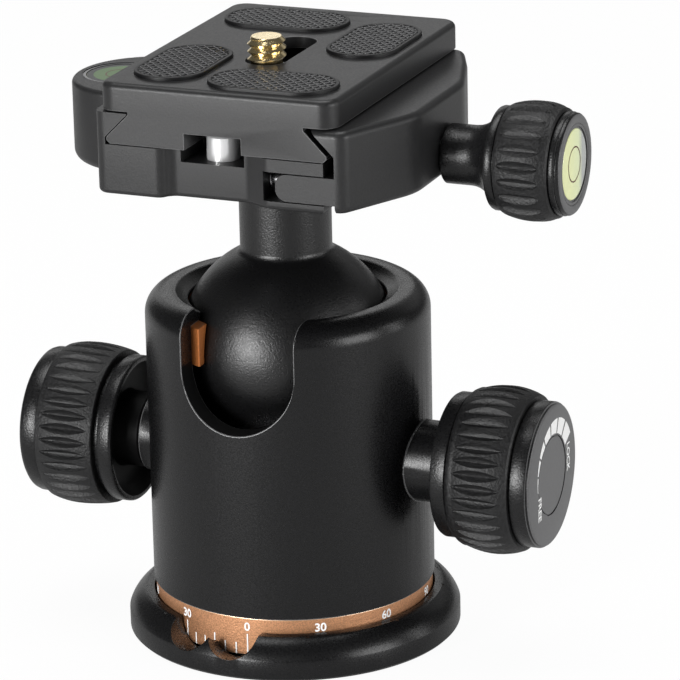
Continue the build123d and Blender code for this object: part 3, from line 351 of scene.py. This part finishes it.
# Main pieces: copies of the solids with rounded edges; on most, the bevels get a lighter finish as
# a painted highlight
softening = {"weld": 0.001, "flat": 0.4, "crease": 30, "segments": 3}
mainPieces = {
    "pan_base": {"width": 0.22},
    "housing": {"width": 0.2, "edge": paintedEdgeHighlight, "clamp": False},
    "scale_ring": {"width": 0.16, "edge": paintedCopperHighlight},
    "seat_ring": {"width": 0.5},
    "clamp_body": {"width": 0.22, "edge": paintedEdgeHighlight, "finish": plateBlack},
    "jaw": {"width": 0.25, "edge": paintedEdgeHighlight, "finish": plateBlack},
    "plate": {"width": 0.25, "edge": paintedEdgeHighlight, "finish": plateBlack},
}
wall = {"outside": 23.4, "low": 18.0, "high": 55.9}


def softened(nodeName, finish=None, **bevel):
    node = frame["nodes"][nodeName]
    slotName = slotOfNode[nodeName]
    work = bmesh.new()
    work.from_mesh(node.data)
    bmesh.ops.remove_doubles(work, verts=work.verts, dist=softening["weld"] * mm)
    bmesh.ops.dissolve_limit(
        work,
        angle_limit=math.radians(softening["flat"]),
        verts=work.verts,
        edges=work.edges,
        delimit={"NORMAL"},
    )
    for face in work.faces:
        face.material_index = 0
    bmesh.ops.recalc_face_normals(work, faces=work.faces)
    return finished(
        work,
        nodeName + "_soft",
        finish or finishOfSlot[slotName],
        node["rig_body"],
        [nodeName],
        softening["crease"],
        {"segments": softening["segments"], **bevel},
    )


def onInnerWall(polygon):
    radius = math.hypot(polygon.center.x, polygon.center.y)
    return radius < wall["outside"] * mm and wall["low"] * mm < polygon.center.z < wall["high"] * mm


made = {nodeName: softened(nodeName, **values) for nodeName, values in mainPieces.items()}
# painted shade: the housing's inner wall gets the darker black
partly(made["housing"], paintedShadeBlack, onInnerWall)
print("main pieces done")

# Knobs: each has a rubber sleeve with hollows, a turned body and a turned face.
# Lines of points are (along the axis from the middle of the head, radius).
perHollow = 8  # columns of faces from one hollow's edge to the next
leastHalf = 0.04  # half a hollow's width at its tips
near = 0.01
sleeveCrease, faceCrease = 28, 40
facingLeast = 0.8  # least part of a normal along an axis that counts as facing along it


def spun(profile, height, side, steps):
    points = [(side * along * mm, 0, (height + radius) * mm) for along, radius in profile]
    hollow = profile[0][1] > 0 and profile[-1][1] > 0
    work = turned(points, (0, 0, height * mm), (1, 0, 0), steps, closed=hollow)
    bmesh.ops.recalc_face_normals(work, faces=work.faces)
    return work


# The barrel swells from root to crest and falls to tail; its hollows are pushed in after the spin
def sleeve(name, values, height, side, body):
    start, end = values["ends"]
    core, widest, crest = values["core"], values["widest"], values["crest"]
    centreAt = sum(values["hollow"]) / 2
    reach = (values["hollow"][1] - values["hollow"][0]) / 2

    def barrel(along):
        edgeAt, edge = (start, values["root"]) if along < widest else (end, values["tail"])
        share = (along - widest) / (edgeAt - widest)
        return crest - (crest - edge) * share**2

    turns = [math.pi * row / values["rows"] for row in range(values["rows"] + 1)]
    places = [centreAt - reach * math.cos(angle) for angle in turns]
    profile = [(start, core), *values["shoulder"]]
    profile += [(along, barrel(along)) for along in places]
    profile += [*values["endShoulder"], (end, core)]
    steps = values["count"] * perHollow
    work = spun(profile, height, side, steps)
    for vert in work.verts:
        across, up = vert.co.y / mm, vert.co.z / mm - height
        radius = math.hypot(across, up)
        column = round(math.atan2(up, across) / turn * steps)
        away = side * vert.co.x / mm - centreAt
        if radius < core + near or abs(away) > reach + near or column % perHollow == 0:
            continue
        centre = (column // perHollow + 0.5) * perHollow / steps * turn
        share = (column % perHollow - perHollow / 2) / (perHollow / 2 - 1)
        swell = max(1 - (away / reach) ** 2, 0) ** values["tip"]
        angle = centre + share * max(values["halfWidth"] * swell, leastHalf) / radius
        radius -= values["depth"] * swell * (1 - share**2)
        vert.co.y = math.cos(angle) * radius * mm
        vert.co.z = (height + math.sin(angle) * radius) * mm
    return finished(work, name, gripRubber, body, crease=sleeveCrease)


def knob(word, values, height, side=1):
    body = word + "_knob"
    sleeve(word + "_grip_sleeve", values["sleeve"], height, side, body)
    core = finished(
        spun(values["body"], height, side, values["steps"]),
        body + "_core",
        knobSatin,
        body,
        [body + "_grip"],
        values["crease"],
    )
    face = finished(
        spun(values["face"], height, side, values["steps"]),
        body + "_face",
        knobSatin,
        body,
        [body + "_cap"],
        faceCrease,
    )
    return {"core": core, "face": face}


def facingRight(polygon):
    return polygon.normal.x > facingLeast


largeHollows = {"depth": 0.95, "halfWidth": 0.96, "tip": 0.8, "rows": 12, "count": 38}
lockKnob = {
    "steps": 128,
    "crease": 32,
    "sleeve": {
        **largeHollows,
        "ends": (32.15, 42.95),
        "core": 11.6,
        "shoulder": [(32.15, 12.3), (32.25, 12.6), (32.6, 12.9), (33.1, 13.15)],
        "endShoulder": [(42.2, 13.2), (42.7, 13.0), (42.95, 12.7)],
        "root": 12.6,
        "widest": 38.0,
        "crest": 13.95,
        "tail": 12.95,
        "hollow": (33.5, 41.8),
    },
    "body": [
        (29.2, 5.3), (29.2, 11.5), (29.35, 11.9), (29.7, 12.1), (31.75, 12.1), (31.9, 12.0),
        (31.95, 11.7), (32.15, 11.7), (32.2, 11.55), (42.9, 11.55), (42.95, 11.3), (42.95, 5.3),
    ],
    "face": [
        (43.0, 0), (43.0, 11.8), (43.15, 12.05), (43.35, 12.12), (45.6, 12.12), (45.8, 12.05),
        (45.88, 11.75), (45.98, 11.7), (46.05, 11.8), (46.2, 11.78), (46.33, 11.6), (46.4, 11.3),
        (46.4, 6.72), (46.2, 6.66), (46.2, 6.52), (46.34, 6.44), (46.34, 0),
    ],
}
lock = knob("lock", lockKnob, lockAxis)
partly(lock["face"], knobFace, facingRight)

# The pan lock knob's body opens to the housing as a dish, whose inside gets a darker black as
# painted shade
panKnob = {
    "steps": 128,
    "crease": 40,
    "dishDepth": 30.7,
    "dishRadius": 11.5,
    "sleeve": {
        **largeHollows,
        "ends": (31.15, 41.65),
        "core": 11.6,
        "shoulder": [(31.15, 12.9), (31.3, 13.1)],
        "endShoulder": [(40.9, 13.4), (41.4, 13.25), (41.65, 12.9)],
        "root": 13.1,
        "widest": 37.4,
        "crest": 13.85,
        "tail": 13.2,
        "hollow": (32.0, 40.6),
    },
    "body": [
        (25.5, 5.3), (25.5, 6.2), (25.7, 6.4), (29.9, 6.4), (30.4, 6.7), (30.6, 7.4), (30.5, 8.8),
        (30.0, 10.0), (29.2, 10.9), (28.2, 11.4), (27.85, 11.6), (27.8, 11.85), (27.85, 12.2),
        (28.1, 12.42), (28.4, 12.45), (30.1, 12.45), (30.35, 12.35), (30.4, 11.9), (31.1, 11.9),
        (31.15, 11.55), (41.6, 11.55), (41.65, 11.3), (41.65, 5.3),
    ],
    "face": [
        (41.7, 0), (41.7, 12.1), (41.85, 12.35), (42.1, 12.42), (44.1, 12.42), (44.6, 12.25),
        (44.9, 11.9), (45.0, 11.5), (45.0, 0),
    ],
}


def inDish(polygon):
    radius = math.hypot(polygon.center.y, polygon.center.z - brakeAxis * mm)
    return polygon.center.x > -panKnob["dishDepth"] * mm and radius < panKnob["dishRadius"] * mm


pan = knob("pan", panKnob, brakeAxis, side=-1)
partly(pan["core"], paintedShadeBlack, inDish)

# The clamp knob's neck flares in a round curve up to its sleeve
flare = {"along": 33.5, "middle": 9.39, "radius": 4.49, "angles": (0, 12, 24, 36, 48, 60, 70, 77)}
flareLine = [
    (
        flare["along"] + flare["radius"] * math.sin(math.radians(angle)),
        flare["middle"] - flare["radius"] * math.cos(math.radians(angle)),
    )
    for angle in flare["angles"]
]
clampKnob = {
    "steps": 96,
    "crease": 40,
    "sleeve": {
        "ends": (39.5, 48.65),
        "core": 8.1,
        "shoulder": [(39.5, 8.6), (39.62, 8.85), (40.0, 9.05)],
        "endShoulder": [(47.9, 9.05), (48.4, 8.9), (48.65, 8.6)],
        "root": 8.9,
        "widest": 44.4,
        "crest": 9.75,
        "tail": 8.85,
        "hollow": (40.4, 47.3),
        "depth": 0.8,
        "halfWidth": 1.05,
        "tip": 0.45,
        "rows": 12,
        "count": 22,
    },
    "body": [
        (29.1, 2.6), (29.1, 4.7), (29.3, 4.9), *flareLine, (38.0, 8.42), (38.15, 8.5), (39.1, 8.5),
        (39.25, 8.42), (39.3, 8.2), (39.5, 8.2), (39.55, 8.05), (48.65, 8.05), (48.65, 2.6),
    ],
    "face": [
        (48.7, 0), (48.7, 8.1), (48.8, 8.34), (48.95, 8.42), (49.6, 8.42), (49.72, 8.36),
        (49.75, 8.1), (49.85, 8.08), (49.9, 8.3), (50.25, 8.28), (50.5, 8.1), (50.6, 7.8),
        (50.6, 6.85), (50.5, 6.65), (50.3, 6.62), (50.3, 0),
    ],
}
clamp = knob("clamp", clampKnob, clampAxis)
partly(clamp["face"], knobFace, facingRight)
print("knobs done")


# White marks on the lock knob's face: a scale that grows toward LOCK, and the two words
def flatText(words, size):
    bold = 0.025 * size
    curve = bpy.data.curves.new("words", "FONT")
    curve.body = words
    curve.size = size * mm
    curve.align_x = "CENTER"
    curve.align_y = "CENTER"
    curve.offset = bold * mm
    holder = linked("words", curve)
    bpy.context.view_layer.update()
    mesh = bpy.data.meshes.new_from_object(holder)
    bpy.data.objects.remove(holder)
    bpy.data.curves.remove(curve)
    return mesh


faceMarks = {
    "face": 46.43,
    "start": 186,
    "end": 24,
    "count": 7,
    "gap": 3.0,
    "steps": 8,
    "inner": 6.95,
    "low": 0.2,
    "high": 3.0,
    "bend": 1.6,
}
faceWords = {
    "FREE": {"across": -6.2, "up": 27.5, "size": 2.0},
    "LOCK": {"across": 7.75, "up": 32.1, "size": 1.85},
}


def onFace(angle, radius):
    return (
        faceMarks["face"] * mm,
        math.cos(angle) * radius * mm,
        (lockAxis + math.sin(angle) * radius) * mm,
    )


scaleMarks = bmesh.new()
sweep = faceMarks["start"] - faceMarks["end"]
pitch = sweep / faceMarks["count"]
for part in range(faceMarks["count"]):
    previous = None
    for step in range(faceMarks["steps"] + 1):
        along = part * pitch + (pitch - faceMarks["gap"]) * step / faceMarks["steps"]
        angle = math.radians(faceMarks["start"] - along)
        grown = math.sin(along / sweep * turn / 4) ** faceMarks["bend"]
        rise = faceMarks["low"] + (faceMarks["high"] - faceMarks["low"]) * grown
        pair = [
            scaleMarks.verts.new(onFace(angle, radius))
            for radius in (faceMarks["inner"], faceMarks["inner"] + rise)
        ]
        if previous:
            scaleMarks.faces.new((previous[0], previous[1], pair[1], pair[0]))
        previous = pair
finished(scaleMarks, "lock_scale_marks", markWhite, "lock_knob")
for words, values in faceWords.items():
    mesh = flatText(words, values["size"])
    for vert in mesh.vertices:
        along, rise = vert.co.x, vert.co.y
        vert.co = (faceMarks["face"] * mm, values["across"] * mm + rise, values["up"] * mm - along)
    finished(mesh, "lock_word_" + words.lower(), markWhite, "lock_knob")

# White lines and numbers round the degree ring, the lines taller at each 15 and 30 degrees
ringMarks = {
    "radius": 23.46,
    "zero": 3.2,
    "every": 5,
    "halfLine": 0.12,
    "low": 2.6,
    "tops": {30: 6.3, 15: 5.6, 5: 4.6},
    "numberEvery": 30,
    "numberAt": 7.5,
    "size": 2.0,
}


def onRing(angle, height):
    return (
        math.sin(angle) * ringMarks["radius"] * mm,
        -math.cos(angle) * ringMarks["radius"] * mm,
        height * mm,
    )


ringLines = bmesh.new()
half = ringMarks["halfLine"] / ringMarks["radius"]
for degree in range(-180, 180, ringMarks["every"]):
    centre = math.radians(degree + ringMarks["zero"])
    low = ringMarks["low"]
    high = next(top for share, top in ringMarks["tops"].items() if degree % share == 0)
    corners = [
        ringLines.verts.new(onRing(centre + side * half, height))
        for side, height in ((-1, low), (1, low), (1, high), (-1, high))
    ]
    ringLines.faces.new(corners)
finished(ringLines, "ring_lines", markWhite, "housing")
for degree in range(-180, 180, ringMarks["numberEvery"]):
    mesh = flatText(str(abs(degree)), ringMarks["size"])
    for vert in mesh.vertices:
        angle = math.radians(degree + ringMarks["zero"]) + vert.co.x / mm / ringMarks["radius"]
        vert.co = onRing(angle, ringMarks["numberAt"] + vert.co.y / mm)
    finished(mesh, "ring_number_" + str(degree % 360), markWhite, "housing")
print("marks done")

# Camera screw: a quarter inch thread cut off level at both ends, on a neck and a flat head
screwPlace = middle("camera_screw").y
thread = {
    "pitch": 1.27,
    "turns": 6,
    "steps": 48,
    "root": 2.55,
    "major": 3.175,
    "foot": (0.12, 0.12),  # how far up the flank the foot's round ends, out and along
    "crown": (0.1, 0.4),  # the same for the crest's round, in and along
    "low": 99.6,
    "high": 103.45,
    "tip": 0.75,
    "weld": 0.002,
    "crease": 25,
}
neck = {"radius": 2.6, "low": 94.45, "high": 99.65, "sides": 64}
head = {"radius": 6.2, "low": 94.8, "high": 96.7, "sides": 96}

flank = [
    (thread["root"], 0),
    (thread["root"] + thread["foot"][0], thread["foot"][1]),
    (thread["major"] - thread["crown"][0], thread["crown"][1]),
]
section = [*flank, (thread["major"], 0.5), *((radius, 1 - share) for radius, share in flank[::-1])]
begin = thread["low"] - thread["pitch"]
work = bmesh.new()
line = [
    work.verts.new((radius * mm, screwPlace * mm, (begin + share * thread["pitch"]) * mm))
    for radius, share in section
]
edges = [work.edges.new(pair) for pair in zip(line, line[1:])]
bmesh.ops.spin(
    work,
    geom=line + edges,
    cent=(0, screwPlace * mm, 0),
    axis=(0, 0, 1),
    dvec=(0, 0, thread["pitch"] / thread["steps"] * mm),
    angle=turn * thread["turns"],
    steps=thread["steps"] * thread["turns"],
)
bmesh.ops.remove_doubles(work, verts=work.verts, dist=thread["weld"] * mm)
for height, normal in ((thread["low"], -1), (thread["high"], 1)):
    cut = bmesh.ops.bisect_plane(
        work,
        geom=work.verts[:] + work.edges[:] + work.faces[:],
        plane_co=(0, 0, height * mm),
        plane_no=(0, 0, normal),
        clear_outer=True,
    )
    rim = [edge for edge in cut["geom_cut"] if isinstance(edge, bmesh.types.BMEdge)]
    bmesh.ops.contextual_create(work, geom=rim)
for vert in work.verts:  # chamfers the tip and keeps the crest inside the major diameter
    out = Vector((vert.co.x, vert.co.y - screwPlace * mm))
    below = thread["high"] - vert.co.z / mm
    limit = (thread["major"] - max(0, thread["tip"] - below)) * mm
    if out.length > limit:
        out *= limit / out.length
        vert.co.x, vert.co.y = out.x, out.y + screwPlace * mm
bmesh.ops.recalc_face_normals(work, faces=work.faces)
finished(work, "camera_screw_thread", brass, "camera_screw", crease=thread["crease"])


def rod(values):
    work = bmesh.new()
    bmesh.ops.create_cone(
        work,
        cap_ends=True,
        segments=values["sides"],
        radius1=values["radius"] * mm,
        radius2=values["radius"] * mm,
        depth=(values["high"] - values["low"]) * mm,
    )
    centre = (0, screwPlace * mm, (values["low"] + values["high"]) / 2 * mm)
    bmesh.ops.translate(work, verts=work.verts, vec=centre)
    return work


finished(rod(neck), "camera_screw_neck", brass, "camera_screw")
finished(
    rod(head),
    "camera_screw_head",
    brass,
    "camera_screw",
    ["camera_screw"],
    bevel={"width": 0.2, "segments": 2},
)

# Rubber pads: a rim round a sunk floor, and a net of ribs on the floor
padShape = {
    "half": 4.9,
    "radius": 6.0,
    "corner": 24,
    "rim": 0.65,
    "wall": 0.12,
    "floor": 0.35,
    "bevel": {"width": 0.3, "segments": 3},
}
padRibs = {
    "width": 0.3,
    "topShare": 0.55,
    "gap": 1.8,
    "eachWay": 12,
    "clear": 0.05,
    "step": 0.05,
    "reach": 400,
    "shortest": 8,
    "slant": 0.7071,
}
padAngles = {"front_pad": 0, "rear_pad": 0, "left_pad": 90, "right_pad": 90}


def upright(angle):
    return Quaternion((0, 0, 1), angle)


def padBody(place, facing, low, high):
    work = bmesh.new()
    loop = []
    for side in (1, -1):
        for step in range(padShape["corner"] + 1):
            bend = math.pi * (step / padShape["corner"] - 0.5)
            across = side * (padShape["half"] + math.cos(bend) * padShape["radius"])
            along = side * math.sin(bend) * padShape["radius"]
            corner = facing @ Vector((across, along, 0)) + place
            loop.append(work.verts.new(corner * mm + Vector((0, 0, low * mm))))
    base = work.faces.new(loop)
    grown = bmesh.ops.extrude_face_region(work, geom=[base])
    lid = [item for item in grown["geom"] if isinstance(item, bmesh.types.BMVert)]
    bmesh.ops.translate(work, verts=lid, vec=(0, 0, (high - low) * mm))
    bmesh.ops.recalc_face_normals(work, faces=work.faces)
    top = [face for face in work.faces if face.normal.z > facingLeast]
    bmesh.ops.inset_region(work, faces=top, thickness=padShape["rim"] * mm)
    bmesh.ops.inset_region(
        work, faces=top, thickness=padShape["wall"] * mm, depth=-padShape["floor"] * mm
    )
    return work


# The stretch of a slanted line that lies on the pad's floor, or nothing where it is too short
def ribStretch(offset):
    radius = padShape["radius"] - padShape["rim"] - padRibs["clear"]
    inside = []
    for step in range(-padRibs["reach"], padRibs["reach"] + 1):
        along = step * padRibs["step"]
        across = abs(offset + along * padRibs["slant"])
        if math.hypot(max(across - padShape["half"], 0), along * padRibs["slant"]) < radius:
            inside.append(along)
    return (inside[0], inside[-1]) if len(inside) >= padRibs["shortest"] else None


def padNet(place, facing, high):
    work = bmesh.new()
    for slope in (-1, 1):
        for index in range(-padRibs["eachWay"], padRibs["eachWay"] + 1):
            offset = index * padRibs["gap"]
            stretch = ribStretch(offset)
            if not stretch:
                continue
            length = stretch[1] - stretch[0]
            centre = sum(stretch) / 2 * padRibs["slant"]
            rib = bmesh.ops.create_cube(work, size=1)
            for vert in rib["verts"]:
                width = padRibs["width"] * (padRibs["topShare"] if vert.co.z > 0 else 1)
                corner = Vector(
                    (vert.co.x * length, vert.co.y * width, vert.co.z * padShape["floor"])
                )
                corner = upright(slope * turn / 8) @ corner
                corner += Vector((offset + centre, slope * centre, 0))
                corner = facing @ corner + place
                corner.z += high - padShape["floor"] / 2
                vert.co = corner * mm
    return work


for name, angle in padAngles.items():
    low, high = (corner.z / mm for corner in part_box(name))
    place = middle(name)
    place.z = 0
    facing = upright(math.radians(angle))
    body = padBody(place, facing, low, high)
    finished(
        body, name + "_body", padRubber, "plate", [name], bevel=padShape["bevel"]
    )
    # the ribs carry the painted highlight rubber
    finished(padNet(place, facing, high), name + "_ribs", ribRubberPaintedHighlight, "plate")
print("plate pieces done")

# Bubble levels: flat rings laid on the two vials, each a hair above the last
levelRings = {
    "line": {"inner": 2.72, "outer": 2.95, "height": 0.03},
    "liquid": {"inner": 0.0, "outer": 4.9, "height": 0.015},
    "rim": {"inner": 4.9, "outer": 6.0, "height": 0.02},
}
levelSteps = 64
clampLevel = middle("level_vial") * mm
clampLevel.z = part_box("level_vial")[1].z
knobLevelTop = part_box("knob_level_vial")[1].x


def onClampLevel(point):
    return clampLevel + point


def onKnobLevel(point):
    return Vector((knobLevelTop + point.z, point.x, clampAxis * mm + point.y))


def disc(name, finish, values, onLevel, body):
    points = [
        (radius * mm, 0, values["height"] * mm) for radius in (values["inner"], values["outer"])
    ]
    work = turned(points, (0, 0, 0), (0, 0, 1), levelSteps)
    for vert in work.verts:
        vert.co = onLevel(vert.co)
    bmesh.ops.recalc_face_normals(work, faces=work.faces)
    return finished(work, name, finish, body)


disc("clamp_level_line", levelLine, levelRings["line"], onClampLevel, "clamp")
disc("knob_level_line", levelLine, levelRings["line"], onKnobLevel, "clamp_knob")
# the clamp level's liquid disc in painted shade
disc("clamp_level_liquid", liquidPaintedShade, levelRings["liquid"], onClampLevel, "clamp")
disc("clamp_level_rim", greyRim, levelRings["rim"], onClampLevel, "clamp")
print("levels done")

# Camera, with its places in metres
cameraView = {
    "sensor": 36,
    "lens": 224.07,
    "clip": (0.05, 20),
    "place": (0.264566, -0.614059, 0.272472),
    "aim": (0.009615, -0.000872, 0.051109),
    "roll": -1.2403,
}


def looking(thing, place, aim, roll=0.0):
    thing.location = place
    thing.rotation_mode = "QUATERNION"
    facing = (Vector(aim) - Vector(place)).to_track_quat("-Z", "Y")
    thing.rotation_quaternion = facing @ upright(math.radians(roll))


camera = linked("camera", bpy.data.cameras.new("camera"))
scene.camera = camera
camera.data.sensor_width = cameraView["sensor"]
camera.data.lens = cameraView["lens"]
camera.data.clip_start, camera.data.clip_end = cameraView["clip"]
looking(camera, cameraView["place"], cameraView["aim"], cameraView["roll"])

# Floor of pale paper, just under the base; the shares say how white each kind of ray sees it
paper = {
    "radius": 4,
    "sides": 64,
    "drop": 0.0003,
    "colour": (0.45, 0.45, 0.45, 1),
    "glow": 1.06,
    "shares": {"Is Camera Ray": 0.9, "Is Transmission Ray": 0.9, "Is Glossy Ray": 0.3},
}


def paperFinish(values):
    finish = bpy.data.materials.new("paper")
    finish.use_nodes = True
    tree = finish.node_tree
    tree.nodes.clear()
    output = tree.nodes.new("ShaderNodeOutputMaterial")
    matt = tree.nodes.new("ShaderNodeBsdfDiffuse")
    matt.inputs["Color"].default_value = values["colour"]
    glow = tree.nodes.new("ShaderNodeEmission")
    glow.inputs["Strength"].default_value = values["glow"]
    blend = tree.nodes.new("ShaderNodeMixShader")
    path = tree.nodes.new("ShaderNodeLightPath")
    white = blend.inputs["Fac"]
    for ray, share in values["shares"].items():
        seen = tree.nodes.new("ShaderNodeMath")
        seen.operation = "MULTIPLY_ADD"
        seen.inputs[1].default_value = share
        seen.inputs[2].default_value = 0
        tree.links.new(path.outputs[ray], seen.inputs[0])
        tree.links.new(seen.outputs[0], white)
        white = seen.inputs[2]
    tree.links.new(matt.outputs["BSDF"], blend.inputs[1])
    tree.links.new(glow.outputs["Emission"], blend.inputs[2])
    tree.links.new(blend.outputs["Shader"], output.inputs["Surface"])
    return finish


work = bmesh.new()
bmesh.ops.create_circle(work, cap_ends=True, segments=paper["sides"], radius=paper["radius"])
bmesh.ops.translate(work, verts=work.verts, vec=(0, 0, -paper["drop"]))
floorMesh = bpy.data.meshes.new("floor")
work.to_mesh(floorMesh)
work.free()
floorMesh.materials.append(paperFinish(paper))
linked("floor", floorMesh)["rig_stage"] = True

# Soft surroundings and lamps; a level is a lamp's strength for its area
surroundings = 0.09
world = bpy.data.worlds.new("studio")
scene.world = world
world.use_nodes = True
background = world.node_tree.nodes["Background"]
background.inputs["Color"].default_value = (1, 1, 1, 1)
background.inputs["Strength"].default_value = surroundings

onHousing, onPlate = (0, 0, 0.05), (0, 0, 0.1)
for name, place, aim, size, level in (
    ("frontLow", (-0.2, -0.62, 0.08), onHousing, (0.32, 0.2), 16.0),
    ("frontTall", (-0.4, -0.95, 0.32), onHousing, (0.12, 0.4), 26.0),
    ("frontSoft", (0.35, -1.1, 0.55), onHousing, (0.6, 0.4), 0.3),
    ("rightWide", (0.95, -0.2, 0.25), onHousing, (0.5, 0.5), 6.5),
    ("backWide", (-0.2, 1.1, 0.6), onHousing, (1.8, 0.5), 0.25),
    ("topSoft", (-0.1, 0.1, 1.1), onHousing, (0.8, 0.6), 5.0),
    ("leftBack", (-0.75, 0.8, 0.3), onHousing, (0.3, 0.7), 0.6),
    ("plateSheen", (-0.41, 0.96, 0.44), onPlate, (0.5, 0.25), 1.0),
    ("rightBack", (0.9, 0.45, 0.25), onHousing, (0.15, 0.6), 4.0),
):
    lamp = bpy.data.lights.new(name, "AREA")
    lamp.shape = "RECTANGLE"
    lamp.size, lamp.size_y = size
    lamp.energy = level * math.pi * size[0] * size[1]
    holder = linked(name, lamp)
    looking(holder, place, aim)
    holder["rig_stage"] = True
scene.view_settings.view_transform = "Standard"
print("stage done")

low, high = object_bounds()
